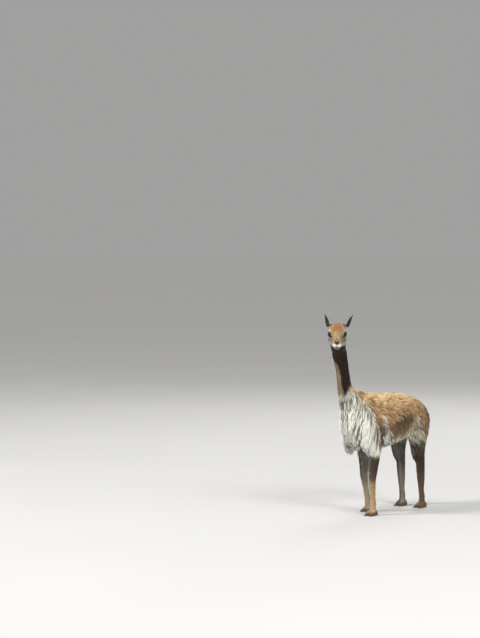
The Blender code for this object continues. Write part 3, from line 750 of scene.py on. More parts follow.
def marks_and_painted_light(points, normals):
    """Colours of skin and coat alike, by place and by the way the skin faces, with painted light and
    shade where noted.
    """
    y, z = points[:, 1], points[:, 2]
    ragged = 0.012 * clouds(points, 0.040, 1) + 0.006 * clouds(points, 0.013, 2)
    patchy = clouds(points, 0.055, 5)
    coat = Paint(CINNAMON, len(points))
    # the top of the back paler: partly paler hair, partly painted sunlight
    coat.over(BLEACHED_AND_SUNLIT, ease(0.70, 0.80, z + 0.03 * patchy + 0.06 * (y < 0.0)) * 0.75)
    coat.over(BROWN, 0.65 * ease(0.0, 0.6, patchy) * ease(0.76, 0.66, z))
    # the flank, with painted shade in part of its hollow and low down, the rump, the hip and the
    # edges of the white
    (hollow_y, hollow_z), (half_y, half_z) = SHADED_HOLLOW
    away = np.hypot((y - hollow_y) / half_y, (z - hollow_z - 0.2 * (y - hollow_y)) / half_z)
    # the hollow: partly its brown, partly painted shade
    coat.over(BROWN * 0.42, 0.9 * ease(1.5, 0.5, away + 0.3 * patchy) * (z < 0.74))
    coat.over(BROWN * 1.2, 0.8 * ease(0.37, 0.45, y + ragged) * ease(0.80, 0.72, z))
    hip = ease(0.24, 0.28, y) * ease(0.42, 0.38, y) * ease(0.68, 0.62, z)
    coat.over(BROWN * 0.8, 0.7 * hip)
    # browner low on the flank above the white belly: partly painted shade under the barrel
    under = ease(0.600, 0.560, z + ragged) * ease(-0.06, 0.02, y) * ease(0.28, 0.24, y)
    coat.over(BROWN * 1.05, 0.75 * under)
    behind = y - follow(WHITE_EDGE, z) + ragged
    coat.over(BROWN * 0.75, ease(0.085, 0.045, behind) * ease(0.66, 0.58, z))
    belly = ease(0.012, -0.012, z - follow(WHITE_RISE, y) + 1.6 * ragged)
    belly = belly * ease(-0.010, 0.010, y - follow(PATCH_EDGE, z) + ragged)
    belly = belly * (1.0 - 0.75 * ease(0.50, 0.56, z) * ease(0.22, 0.27, y) * ease(
        -0.15, 0.15, clouds(points, 0.014, 8)))
    coat.over(CREAM, belly)
    coat.over(WHITE * 0.95, belly * ease(0.06, 0.02, y))
    legs = ease(0.450, 0.405, z + ragged)
    legs = np.where(y > HIND, ease(0.475, 0.430, z + ragged), legs)
    coat.over(leg_colours(points), legs)
    coat.over(WHITE, ease(0.008, -0.008, behind) * ease(0.425, 0.440, z))
    tail = Paint(BROWN * 0.95, len(points))
    tail.over(CREAM, ease(0.2, -0.2, normals[:, 1]))
    coat.over(tail.now, tail_share(points))
    # the neck: dark, painted shade over its cinnamon, with its tan stripe down the throat, partly its
    # paler hair and partly painted sunlight, and a cinnamon nape darkened by painted shade
    lowest = 0.796 + 0.058 * ease(-0.60, 0.15, normals[:, 1])
    neck = ease(0.0, 0.030, z + ragged - lowest) * ease(0.105, 0.070, y - follow(NECK_AXIS, z))
    throat = follow(THROAT_EDGE, z) + 1.5 * ragged
    level = np.maximum(np.hypot(*normals[:, :2].T), 0.01)
    turn = np.radians(follow(THROAT_TURN, z))
    square = (-normals[:, 1] * np.cos(turn) - normals[:, 0] * np.sin(turn)) / level
    # painted shade over the neck's cinnamon
    dark = Paint(NECK_PAINTED_SHADE, len(points))
    # the throat's tan: partly paler hair, partly painted sunlight
    dark.over(THROAT_PALE_AND_SUNLIT, ease(-0.04, 0.04, square - throat))
    # the nape's cinnamon darkened, partly painted shade
    dark.over(CINNAMON * 0.55, ease(0.60, 0.98, normals[:, 1] + 4.0 * ragged))
    coat.over(dark.now, neck)
    head = head_share(points + 0.8 * ragged[:, None])[:, None]
    return coat.now * (1.0 - head) + head_colours(points, normals) * head


def lie(points):
    """The way the coat lies at each point."""
    x, y, z = points.T
    full = np.ones(len(x))
    back = follow(((0.42, 0.25), (0.55, 0.45), (0.65, 0.70), (0.75, 0.95), (0.85, 1.00)), z)
    down = follow(((0.42, 1.00), (0.55, 0.95), (0.65, 0.65), (0.75, 0.30), (0.82, 0.12)), z)
    way = Paint(columns(0.0 * full, back, -down))
    way.over((0.0, 0.45, -1.0), ease(0.33, 0.47, y))
    way.over((0.0, 0.50, -0.80), ease(-0.10, -0.20, y))
    way.over(columns(-1.2 * x, -0.10 - 0.22 * ease(0.05, 0.12, np.abs(x)), -full),
             ease(0.03, -0.03, y - follow(WHITE_EDGE, z)))
    way.over((0.0, 0.30, -1.0), neck_share(points))
    way.over((0.0, 0.0, -1.0), leg_share(points))
    way.over((0.0, -0.5, -1.0), ease(0.06, 0.03, z))
    way.over((0.0, 0.10, -1.0), tail_share(points))
    side, high, up = in_head(points).T
    lift = 0.9 * ease(0.02, 0.06, up) * ease(-0.02, 0.03, high) - 0.5 * ease(0.0, -0.03, up)
    head = columns(0.3 * np.sign(side) * ease(0.0, 0.02, np.abs(side)), full, lift)
    way.over(from_head(head), head_share(points))
    ear = columns(0.25 * np.sign(side), 0.1 * full, full)
    way.over(from_head(ear), ear_share(points))
    return way.now


def comb(hull, roots, length, reach, hold, stray, steps, seed, rise):
    """Paths of locks from their roots along the lie of the coat, out to its tips."""
    random = np.random.default_rng(seed)
    start = hull.at(roots)
    lean = random.normal(0.0, 1.0, roots.shape) * stray
    lean += columns(*(clouds(roots, 0.07, seed + k) for k in range(3))) * 2.2 * stray
    path, step = [roots], (length / steps)[:, None]
    for number in range(1, steps + 1):
        here = path[-1]
        grow = hull.slope(here)
        way = unit(unit(lie(here)) + lean)
        # under the belly and the breast the locks hang free, and end near the coat's surface
        hang = ease(-0.15, -0.50, grow[:, 2]) * ease(0.28, 0.34, here[:, 2])
        way = unit(way - grow * (dots(way, grow) * (1.0 - 0.85 * hang))[:, None])
        room = ease(0.010, -0.010, hull.at(here)) * hang + 1.0 - hang
        there = here + way * step * (0.1 + 0.9 * room)[:, None]
        goal = start * (1.0 - reach * (1.0 - (1.0 - number / steps) ** rise))
        there = there + grow * ((goal - hull.at(there)) * hold * (1.0 - 0.8 * hang))[:, None]
        path.append(there)
    return np.stack(path, axis=1)


def gather(paths, leaders, pull):
    """Draw each path towards that of the nearest leader, most at the tips."""
    tree = KDTree(len(leaders))
    for number, place in enumerate(leaders[:, 0]):
        tree.insert(place, number)
    tree.balance()
    nearest = np.array([tree.find(place)[1] for place in paths[:, 0]])
    apart = sizes(leaders[nearest, -1] - paths[:, -1])
    share = np.linspace(0.0, 1.0, paths.shape[1]) ** 1.3 * pull * ease(0.065, 0.030, apart)[:, None]
    return paths + (leaders[nearest] - paths) * share[..., None], nearest


def spread_roots(skin, chosen, spacing, most, seed):
    """Roots set evenly over the chosen part of the skin, with the way it faces there."""
    random = np.random.default_rng(seed)
    corners, points, normals = corners_of(skin.data), points_of(skin), normals_of(skin)
    a, b, c = (points[corners[:, k]] for k in range(3))
    across = np.cross(b - a, c - a)
    total = np.cumsum(sizes(across) / 2 * chosen((a + b + c) / 3, unit(across)))
    count = int(total[-1] / spacing ** 2 * 5) + 10
    which = np.searchsorted(total, random.uniform(0.0, total[-1], count))
    which = np.minimum(which, len(total) - 1)
    one, two = random.uniform(0.0, 1.0, (2, count))
    over = one + two > 1.0
    one, two = np.where(over, 1.0 - one, one), np.where(over, 1.0 - two, two)
    share = columns(1.0 - one - two, one, two)[:, :, None]
    roots = (points[corners[which]] * share).sum(axis=1)
    facing = unit((normals[corners[which]] * share).sum(axis=1))
    cells = np.floor(roots / spacing + random.uniform(0.0, 1.0, 3)).astype(np.int64)
    keys = cells @ np.array(CELL_KEYS)
    first = np.sort(np.unique(keys, return_index=True)[1])
    if len(first) > most:
        first = np.sort(random.choice(first, most, replace=False))
    return roots[first], facing[first]


def strands(paths, hull, each, spread, width, wave, seed):
    """Tapering solids round every path, several to a lock: points (lock, strand, ring, 3, xyz)."""
    random = np.random.default_rng(seed)
    count, rings = paths.shape[:2]

    def draw(low, high):
        return random.uniform(low, high, (count, each))

    reach = draw(0.72, 1.04)
    reach[:, 0] = 1.0
    along = np.linspace(0.0, 1.0, rings)
    place = np.minimum(reach[:, :, None] * along, 0.9999) * (rings - 1)
    cell = place.astype(int)
    part = (place - cell)[..., None]
    lock = np.arange(count)[:, None, None]
    line = paths[lock, cell] * (1.0 - part) + paths[lock, cell + 1] * part
    ahead = unit(np.gradient(paths, axis=1))
    out = hull.slope(paths.reshape(-1, 3)).reshape(paths.shape)
    out = unit(out - ahead * np.einsum("ijk,ijk->ij", out, ahead)[..., None] + 1e-6)
    side = np.cross(ahead, out)
    out, side = out[:, None], side[:, None]
    angle = draw(0.0, 2.0 * math.pi)
    radius = np.sqrt(draw(0.05, 1.0)) * spread
    radius[:, 0] = 0.0
    close = 1.0 - 0.70 * along ** 1.2
    across = (radius * np.cos(angle))[..., None] * close
    above = (radius * np.sin(angle))[..., None] * close * 0.45
    turn = draw(0.0, 2.0 * math.pi)[..., None]
    phase = turn + 2.0 * math.pi * along * draw(0.6, 1.5)[..., None]
    bend = wave[:, None, None] * along * draw(0.3, 1.0)[..., None]
    across = across + bend * np.cos(phase)
    above = above + 0.6 * bend * np.sin(phase)
    line = line + side * across[..., None] + out * above[..., None]
    half = width * 0.5 * draw(0.75, 1.25)
    taper = (0.75 + 0.8 * along) * (1.0 - along ** 2.4)
    roll = draw(0.0, 2.0 * math.pi)
    corners = roll[..., None] + np.arange(3) * 2.0 * math.pi / 3.0
    size = half[..., None] * taper
    thick = size[..., None] * np.sin(corners)[:, :, None, :] * 0.55
    wide = size[..., None] * np.cos(corners)[:, :, None, :]
    return line[:, :, :, None] + side[..., None, :] * wide[..., None] + out[..., None, :] * (
        thick[..., None])


def strand_faces(rings):
    """Triangles of one strand, and where their corners lie on its patch of the flat map."""
    faces, flat = [(0, 2, 1)], [((0.05, 0.0), (0.95, 0.0), (0.5, 0.10))]
    tall = 0.88 / (rings - 1)
    for ring in range(rings - 1):
        low, high = 0.12 + tall * ring, 0.12 + tall * (ring + 1)
        for corner in range(3):
            after = (corner + 1) % 3
            left, right = corner / 3.0, (corner + 1) / 3.0
            a, b = ring * 3 + corner, ring * 3 + after
            if ring == rings - 2:
                faces.append((a, b, (rings - 1) * 3))
                flat.append(((left, low), (right, low), ((left + right) / 2, high)))
                continue
            faces += [(a, b, b + 3), (a, b + 3, a + 3)]
            flat += [((left, low), (right, low), (right, high)),
                     ((left, low), (right, high), (left, high))]
    return np.array(faces), np.array(flat)


def unrolled(points, zone):
    """Where points of the skin lie on an unwrap of that part of the body.

    Ears and legs are set apart by more than a whole turn.
    """
    x, y, z = points.T
    side, back, up = in_head(points).T
    if zone == "trunk":
        flat = np.arctan2(x, z - 0.62), y
    elif zone == "breast":
        flat = np.arctan2(x, -(y + 0.05)), z
    elif zone == "neck":
        flat = np.arctan2(x - follow(((0.86, 0.0), (1.12, 0.012)), z), follow(NECK_AXIS, z) - y), z
    elif zone == "face":
        flat = np.arctan2(side, up + 0.001), back
    elif zone == "head":
        ear = ear_share(points) > 0.5
        round_ear = np.arctan2(np.abs(side) - 0.070, back - 0.045) + np.where(side > 0, 7.5, 14.5)
        flat = (np.where(ear, round_ear, np.arctan2(side, up + 0.001)),
                np.where(ear, up * 1.4, back))
    elif zone == "tail":
        flat = np.arctan2(x, y - TAIL_BOX[:, 1].mean()), z
    else:
        nearest = np.argmin(sizes(points[:, None, :2] - FEET_AT[None, :, :2]), axis=1)
        away = points - FEET_AT[nearest]
        flat = np.arctan2(away[:, 0], away[:, 1]) + 7.0 * nearest, z
    return columns(*flat)


def strand_mesh(name, places, at):
    """A mesh of closed strands, each lock with its patch on the flat map."""
    count, each, rings = places.shape[:3]
    # the last ring closes to a point
    tip = places[:, :, -1].mean(axis=2, keepdims=True)
    points = np.concatenate([places[:, :, :-1].reshape(count, each, -1, 3), tip], axis=2)
    per = points.shape[2]
    points = points.reshape(-1, 3)
    points[:, 2] = np.maximum(points[:, 2], 0.0004)
    faces, flat = strand_faces(rings)
    first = np.arange(count * each)[:, None, None] * per
    thing = quick_mesh(name, points, (faces[None] + first).reshape(-1, 3))
    corner = np.repeat(at, each, axis=0)
    corner[:, 0] += np.tile(np.arange(each) * PATCH / each, count)
    flat_at = corner[:, None, None] + flat[None] * (PATCH / each, PATCH)
    layer = thing.data.uv_layers.new(name="OFBake")
    layer.data.foreach_set("uv", flat_at.astype(np.float32).ravel())
    return thing


def lashes(hull):
    """Long dark lashes on the upper lids."""
    random = np.random.default_rng(71)
    paths = []
    for side in (1, -1):
        out, nose, up = eye_axes(side)
        for place in np.linspace(-0.95, 0.80, 44):
            share = place + random.normal(0.0, 0.02)
            along = OPENING[0] * share
            across = OPENING[1] * (1.0 - share ** 2) + 0.0010
            turned = math.hypot(along, across)
            flat = (nose * along + up * across) / turned
            angle = turned / EYE_RADIUS
            way = out * math.cos(angle) + flat * math.sin(angle)
            root = EYES[side] + way * (EYE_RADIUS + 0.0016)
            length = random.uniform(0.008, 0.013) * (1.0 - 0.35 * abs(share))
            lean = unit(way - nose * (0.25 - 0.5 * share) + random.normal(0.0, 0.10, 3))
            path = [root]
            for step in range(3):
                lean = unit(lean + np.array((0.0, 0.0, -0.45 + 0.40 * step)))
                path.append(path[-1] + lean * length / 3.0)
            paths.append(path)
    paths = np.array(paths)
    count = len(paths)
    places = strands(paths, hull, 1, 0.0, 0.0008, np.zeros(count), 72)
    at = columns(np.arange(count) / count * 0.9 + 0.05, np.full(count, 0.5))
    thing = strand_mesh("lashes", places, at)
    paint(thing, np.tile(BLACK_SKIN * 0.8, (len(thing.data.vertices), 1)))
    return thing


def paint(thing, colour):
    """Store colours on a mesh's points."""
    layer = thing.data.color_attributes.new(name="marks_and_painted_light", type="FLOAT_COLOR", domain="POINT")
    whole = np.concatenate([colour, np.ones((len(colour), 1))], axis=1)
    layer.data.foreach_set("color", whole.astype(np.float32).ravel())


def breast_zone(points):
    """1 where the long locks of the breast grow."""
    y, z = points[:, 1], points[:, 2]
    share = ease(0.012, -0.012, y - follow(WHITE_EDGE, z)) * (z > 0.440)
    return share * (1.0 - neck_share(points)) * (1.0 - head_share(points))


def zones(points):
    """Which piece of coat each point of the skin belongs to."""
    head, neck, tail, leg, breast = (share(points) > 0.5 for share in (
        head_share, neck_share, tail_share, leg_share, breast_zone))
    return {"head": head, "neck": neck & ~head, "tail": tail, "leg": leg & ~tail & ~breast,
            "breast": breast & ~leg, "trunk": ~(head | neck | tail | leg | breast)}


def haired(points, front):
    """Where hair grows on the front or back of the head: not on lids, nostrils and lips."""
    head = in_head(points)
    inside = zones(points)["head"] & ((head[:, 1] < FACE_BACK) == front)
    bare = (nostril_share(head) > 0.05) | (cleft_share(head) > 0.3) | (mouth_share(head) > 0.2)
    for eye in (1, -1):
        near = to_eye(points, eye) < EYE_RADIUS + LID_REACH
        bare = bare | ((eye_opening(points, eye) < 0.0034) & near)
    return inside * (1.0 - bare) * (1.0 + 0.4 * ear_share(points))


def chooser(zone, *bands):
    """Where a piece of coat grows: in its zone, between two measures along each band's axis."""
    def chosen(points, normals):
        if zone in ("head", "face"):
            return haired(points, zone == "face")
        inside = zones(points)[zone]
        for axis, low, high in bands:
            inside = inside & (points[:, axis] >= low) & (points[:, axis] < high)
        if zone == "breast":
            inside = inside & ((normals[:, 2] > -0.45) | (points[:, 2] > 0.50))
        return inside.astype(float)
    return chosen


def coat_length(points, zone):
    """How long the locks of a zone are, by their roots."""
    y, z = points[:, 1], points[:, 2]
    if zone in ("head", "face"):
        back, up = in_head(points)[:, 1:].T
        length = 0.006 + 0.008 * ease(-0.10, -0.02, back)
        length = length + 0.012 * ease(0.045, 0.075, up) * ease(-0.04, 0.02, back)
        length = 0.003 + (length - 0.003) * ease(0.018, 0.036, to_eyes(points))
        length = length + (0.013 - length) * ear_share(points)
        return length if zone == "head" else 0.75 * length + 0.001
    length = follow(LENGTHS[zone], z)
    if zone == "trunk":
        return length * (1.0 - 0.2 * ease(0.35, 0.5, y))
    return np.minimum(length, 1.1 * (z - 0.405)) if zone == "breast" else length


def coat_piece(name, zone, bands, spacing, seed, hull, skin, rings, each, width, wave=0.05,
               stray=0.22, reach=0.93, hold=0.6, clump=0.024, pull=0.55, tips=(0.62, 1.12),
               paler=0.25, blur=0.008, uneven_tone=0.12, rise=1.6, thickness=None, longer=1.0,
               under=False):
    """One piece of coat over part of the skin."""
    chosen = chooser(zone, *bands)
    most = LARGEST_PIECE // ((6 * rings - 8) * each)
    roots, facing = spread_roots(skin, chosen, spacing, most, seed)
    length = longer * coat_length(roots, zone)
    length = length * np.random.default_rng(seed + 1).uniform(0.85, 1.15, len(roots))
    paths = comb(hull, roots, length, reach, hold, stray, rings - 1, seed + 2, rise)
    # leaders draw the locks into clumps
    some = spread_roots(skin, chosen, clump, CLUMPS, seed + 3)[0]
    uneven = reach * np.random.default_rng(seed + 7).uniform(0.60, 1.08, len(some))
    leaders = comb(hull, some, longer * coat_length(some, zone), uneven, hold, stray * 1.3,
                   rings - 1, seed + 4, rise)
    paths, nearest = gather(paths, leaders, pull)
    places = strands(paths, hull, each, thickness or spacing * 0.62, width, wave * length, seed + 5)
    at = unrolled(roots, zone)
    at = (at - at.min(axis=0)) / np.ptp(at, axis=0) * (0.98 - PATCH) + 0.01
    coat = strand_mesh(name, places, at)
    # colours: of the place, uneven by clump, lock and strand, darker at the roots and lighter at the
    # tips, partly the hair's own colour, partly painted shade deep in the coat and painted sunlight
    # on the tips
    random = np.random.default_rng(seed + 6)
    seen = roots if zone in ("head", "face", "breast") else paths[:, rings // 2]
    astray = random.normal(0.0, blur, (len(leaders), 3))[nearest]
    astray = astray + random.normal(0.0, blur * 0.7, roots.shape)
    tone = random.normal(1.0, uneven_tone, len(leaders))[nearest]
    # painted shade on the under layer beneath the long locks, lightest at the hem
    if under:
        tone = tone * (0.50 + 0.40 * ease(0.56, 0.45, roots[:, 2]))
    tone = tone * random.normal(1.0, uneven_tone * 0.8, len(roots))
    base = (marks_and_painted_light(seen + astray, facing) * tone[:, None])[:, None, None, :]
    along = np.append(np.repeat(np.linspace(0.0, 1.0, rings)[:-1], 3), 1.0)
    shade = (tips[0] + (tips[1] - tips[0]) * along ** 0.8)[None, None, :, None]
    single = random.normal(1.0, 0.09, (len(roots), each))[:, :, None, None]
    whole = base * shade * single
    # paler tips: partly the hair's own paler ends, partly painted sunlight
    pale = 0.45 * CREAM + 0.75 * base
    whole = whole + (pale - whole) * (paler * along ** 2.0)[None, None, :, None] * (
        np.clip(tone, 0.5, 1.4)[:, None, None, None] - 0.5)
    paint(coat, np.clip(whole, 0.0, 1.0).reshape(-1, 3))
    print(name, len(roots), "locks", len(coat.data.polygons), "triangles")
    return coat


# how the locks of each kind grow
TRUNK = dict(rings=4, each=5, width=0.0026, wave=0.06, clump=0.022, pull=0.62, stray=0.17,
             tips=(0.40, 1.20), paler=0.34, uneven_tone=0.23)
# the bib: wool under the long locks, darkened by painted shade
BIB = dict(rings=6, each=5, width=0.0028, stray=0.11, reach=0.80, hold=0.45, pull=0.80,
           tips=(0.30, 0.95), paler=0.0, blur=0.002, uneven_tone=0.16, under=True)
TOP_LOCKS = dict(rings=7, each=9, width=0.0029, stray=0.12, reach=1.0, clump=0.050, pull=0.25,
                 tips=(0.50, 1.22), paler=0.0, blur=0.002, uneven_tone=0.10, rise=3.2,
                 thickness=0.0040, longer=1.15)
NECK = dict(rings=4, each=4, width=0.0018, clump=0.014, stray=0.15, pull=0.45, tips=(0.55, 1.15),
            paler=0.04, blur=0.004, reach=0.97)
SCALP = dict(rings=3, each=3, width=0.0011, clump=0.009, stray=0.14, pull=0.35, tips=(0.72, 1.08),
             paler=0.10, reach=0.80, blur=0.002, uneven_tone=0.09)
FACE = dict(rings=3, each=3, width=0.00065, wave=0.04, clump=0.006, stray=0.10, pull=0.30,
            tips=(0.80, 1.06), paler=0.06, reach=0.72, blur=0.0012, uneven_tone=0.07)
LEG = dict(rings=3, each=3, width=0.0015, wave=0.04, clump=0.012, stray=0.12, pull=0.35,
           tips=(0.70, 1.10), paler=0.08, reach=0.85, blur=0.004)
# tips above 1 paint the fine hair lighter than its place: painted light that offsets the strands' own
# shade
FOOT = dict(rings=3, each=3, width=0.0009, wave=0.04, clump=0.009, stray=0.10, pull=0.30,
            tips=(1.12, 1.38), paler=0.05, reach=0.68, blur=0.004, uneven_tone=0.07)
TAIL = dict(rings=4, each=5, width=0.0024, clump=0.016)
# bands of the skin: axis, from, to
FRONT, REAR = (1, -1.0, 0.15), (1, 0.15, 1.0)
HIGH, LOW = (2, PASTERN, 1.0), (2, -1.0, PASTERN)
# the pieces of coat: name, zone, bands, spacing of the roots, seed, kind
COATS = (
    ("coat_shoulders", "trunk", [(1, -1.0, 0.02)], 0.0110, 100, TRUNK),
    ("coat_flanks", "trunk", [(1, 0.02, 0.24)], 0.0110, 120, TRUNK),
    ("coat_haunches", "trunk", [(1, 0.24, 1.0)], 0.0121, 140, TRUNK),
    ("coat_breast_top", "breast", [(2, 0.66, 2.0)], 0.0108, 200, BIB),
    ("coat_breast_low", "breast", [(2, 0.0, 0.66)], 0.0108, 220, BIB),
    ("coat_breast_locks", "breast", [], 0.0190, 260, TOP_LOCKS),
    ("coat_neck", "neck", [], 0.0066, 300, NECK),
    ("coat_head", "head", [], 0.0045, 400, SCALP),
    ("coat_face", "face", [], 0.0030, 440, FACE),
    ("coat_forelegs", "leg", [FRONT, HIGH], 0.0074, 500, LEG),
    ("coat_lower_forelegs", "leg", [FRONT, LOW], 0.0053, 560, FOOT),
    ("coat_hindlegs", "leg", [REAR, HIGH], 0.0074, 520, LEG),
    ("coat_lower_hindlegs", "leg", [REAR, LOW], 0.0053, 580, FOOT),
    ("coat_tail", "tail", [], 0.0070, 600, TAIL),
)


def eyeball(side):
    """One eye with its bulging front, and the way each point looks, for the iris."""
    out, nose, up = eye_axes(side)
    bpy.ops.mesh.primitive_uv_sphere_add(segments=72, ring_count=48, radius=EYE_RADIUS)
    eye = bpy.context.active_object
    eye.name = "left_eye" if side > 0 else "right_eye"
    local = points_of(eye)
    way = unit(local)
    bulge = 0.0011 * ease(0.60, 0.95, way[:, 2])
    turned = np.outer(way[:, 0], nose) + np.outer(way[:, 1], up) + np.outer(way[:, 2], out)
    put_points(eye, EYES[side] + turned * (EYE_RADIUS + bulge)[:, None])
    gaze = eye.data.attributes.new(name="gaze", type="FLOAT_VECTOR", domain="POINT")
    gaze.data.foreach_set("vector", way.astype(np.float32).ravel())
    if np.dot(np.cross(nose, up), out) < 0.0:
        edit(eye, bpy.ops.mesh.flip_normals)
    smooth_look(eye)
    return eye


def copy_node(node, name):
    """A separate copy of a solid with its doubles merged."""
    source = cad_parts[node]
    copy = bpy.data.objects.new(name, source.data.copy())
    bpy.context.scene.collection.objects.link(copy)
    copy.matrix_world = source.matrix_world.copy()
    edit(copy, bpy.ops.mesh.remove_doubles, threshold=0.00002)
    return copy


def wire(tree, node, inputs):
    """Set a node's inputs, each to a value or to another node's output."""
    for name, value in inputs.items():
        if isinstance(value, bpy.types.NodeSocket):
            tree.links.new(value, node.inputs[name])
        else:
            node.inputs[name].default_value = value


def add(tree, kind, inputs, **settings):
    """A new node with its settings and inputs."""
    node = tree.nodes.new("ShaderNode" + kind)
    for key, value in settings.items():
        setattr(node, key, value)
    wire(tree, node, inputs)
    return node


def ramp(tree, value, low, high):
    """A colour that changes along a value, from (place, colour) of both ends."""
    node = add(tree, "ValToRGB", {"Fac": value})
    for element, (place, colour) in zip(node.color_ramp.elements, (low, high)):
        element.position, element.color = place, (*colour, 1.0)
    return node.outputs["Color"]


def between(tree, value, low, high):
    """A value from 0 to 1 spread between two others."""
    return add(tree, "MapRange", {"Value": value, "To Min": low, "To Max": high}).outputs["Result"]


def bump(tree, height, strength, distance):
    """A normal disturbed by a height."""
    return add(tree, "Bump", {"Strength": strength, "Distance": distance,
                              "Height": height}).outputs["Normal"]


def new_material(name):
    """A material, its nodes and its shader."""
    material = bpy.data.materials.new(name)
    material.use_nodes = True
    return material, material.node_tree, material.node_tree.nodes["Principled BSDF"]


def grain_group():
    """Hair by hair change of colour and height."""
    tree = bpy.data.node_groups.new("hair grain", "ShaderNodeTree")
    for title, way, kind in (("Colour", "INPUT", "Color"), ("Stretch", "INPUT", "Vector"),
                             ("Contrast", "INPUT", "Float"), ("Patches", "INPUT", "Float"),
                             ("Colour", "OUTPUT", "Color"), ("Height", "OUTPUT", "Float"),
                             ("Roughness", "OUTPUT", "Float")):
        tree.interface.new_socket(name=title, in_out=way, socket_type="NodeSocket" + kind)
    given = tree.nodes.new("NodeGroupInput").outputs
    place = add(tree, "TexCoord", {}).outputs["Object"]
    scaled = add(tree, "VectorMath", {0: place, 1: given["Stretch"]}, operation="MULTIPLY")
    fine = add(tree, "TexNoise", {"Vector": scaled.outputs[0], "Scale": 1.0, "Detail": 3.0,
                                  "Roughness": 0.6}).outputs[0]
    broad = add(tree, "TexNoise", {"Vector": place, "Scale": 38.0, "Detail": 4.0}).outputs[0]

    def sum_of(kind, one, other):
        return add(tree, "Math", {0: one, 1: other}, operation=kind).outputs[0]

    parts = [sum_of("MULTIPLY", sum_of("SUBTRACT", noise, 0.5), share) for noise, share in (
        (fine, given["Contrast"]), (broad, given["Patches"]))]
    light = sum_of("ADD", sum_of("MULTIPLY", sum_of("ADD", *parts), 2.0), 1.0)
    colour = add(tree, "VectorMath", {0: given["Colour"], "Scale": light}, operation="SCALE")
    rough = sum_of("ADD", sum_of("MULTIPLY", fine, -0.25), 0.98)
    wire(tree, tree.nodes.new("NodeGroupOutput"),
         {"Colour": colour.outputs[0], "Height": fine, "Roughness": rough})
    return tree


# name, stretch of the grain, contrast, patches, bump, sheen
HAIR = {
    "hide": ("short hair over skin", (900.0, 900.0, 260.0), 0.30, 0.15, 0.7, 0.10),
    "wool": ("cinnamon wool", (1400.0, 1400.0, 700.0), 0.22, 0.22, 0.3, 0.12),
    "locks": ("long white locks", (1400.0, 1400.0, 350.0), 0.16, 0.10, 0.3, 0.30),
    "dark": ("dark short hair", (1600.0, 1600.0, 500.0), 0.25, 0.18, 0.3, 0.05),
}


def hair_material(grain, name, stretch, contrast, patches, relief, sheen):
    """A finish that takes its colours from the piece and adds the grain of hair."""
    material, tree, shader = new_material(name)
    own = add(tree, "Attribute", {}, attribute_name="marks_and_painted_light").outputs["Color"]
    group = add(tree, "Group", {}, node_tree=grain)
    wire(tree, group, {"Colour": own, "Stretch": stretch, "Contrast": contrast,
                       "Patches": patches})
    made = group.outputs
    wire(tree, shader, {"Base Color": made["Colour"], "Roughness": made["Roughness"],
                        "Normal": bump(tree, made["Height"], relief, 0.001),
                        "Specular IOR Level": 0.15, "Sheen Weight": sheen,
                        "Sheen Roughness": 0.5})
    return material


def eye_material():
    """Dark brown iris with a long pupil, under a wet front."""
    material, tree, shader = new_material("wet dark eye")
    gaze = add(tree, "Attribute", {}, attribute_name="gaze").outputs["Vector"]
    squeeze = add(tree, "VectorMath", {0: gaze, 1: (1.0, 1.9, 0.0)}, operation="MULTIPLY")
    wide = add(tree, "VectorMath", {0: squeeze.outputs[0]}, operation="LENGTH").outputs["Value"]
    pupil = ramp(tree, wide, (0.50, (0.002, 0.002, 0.002)), (0.62, (0.014, 0.007, 0.004)))
    streaks = add(tree, "TexNoise", {"Vector": gaze, "Scale": 9.0, "Detail": 5.0}).outputs
    mixed = add(tree, "Mix", {}, data_type="RGBA", blend_type="MULTIPLY")
    wire(tree, mixed, {"Factor": 0.7, "A": pupil, "B": streaks["Color"]})
    wire(tree, shader, {"Base Color": mixed.outputs["Result"],
                        "Roughness": between(tree, streaks["Fac"], 0.05, 0.16),
                        "Coat Weight": 0.25, "Coat Roughness": 0.02, "Specular IOR Level": 0.3})
    return material


def nail_material():
    """Dark horn with growth lines."""
    material, tree, shader = new_material("dark horn")
    place = add(tree, "TexCoord", {}).outputs["Object"]
    along = add(tree, "Mapping", {"Vector": place, "Scale": (60.0, 60.0, 420.0)})
    lines = add(tree, "TexNoise", {"Vector": along.outputs["Vector"], "Scale": 1.0,
                                   "Detail": 4.0}).outputs["Fac"]
    horn = ramp(tree, lines, (0.3, (0.018, 0.014, 0.012)), (0.75, (0.115, 0.088, 0.066)))
    wire(tree, shader, {"Base Color": horn, "Roughness": between(tree, lines, 0.38, 0.62),
                        "Normal": bump(tree, lines, 0.5, 0.0006)})
    return material


# name, kind, place, aim, power, settings
LAMPS = (
    ("key light", "AREA", (-5.0, -8.6, 9.5), (0.0, 0.0, 0.7), 1750.0, {"shape": "DISK", "size": 3.6}),
    ("fill light", "AREA", (9.0, -3.6, 6.0), (0.0, 0.0, 0.7), 930.0, {"shape": "DISK", "size": 4.0}),
    ("rim light", "AREA", (-3.0, 8.0, 7.0), (0.0, 0.0, 0.7), 420.0, {"shape": "DISK", "size": 5.0}),
    ("roof light", "SUN", (0.0, 0.0, 6.0), (-0.10, 0.40, 5.0), 1.7, {"angle": math.radians(24.0)}),
)


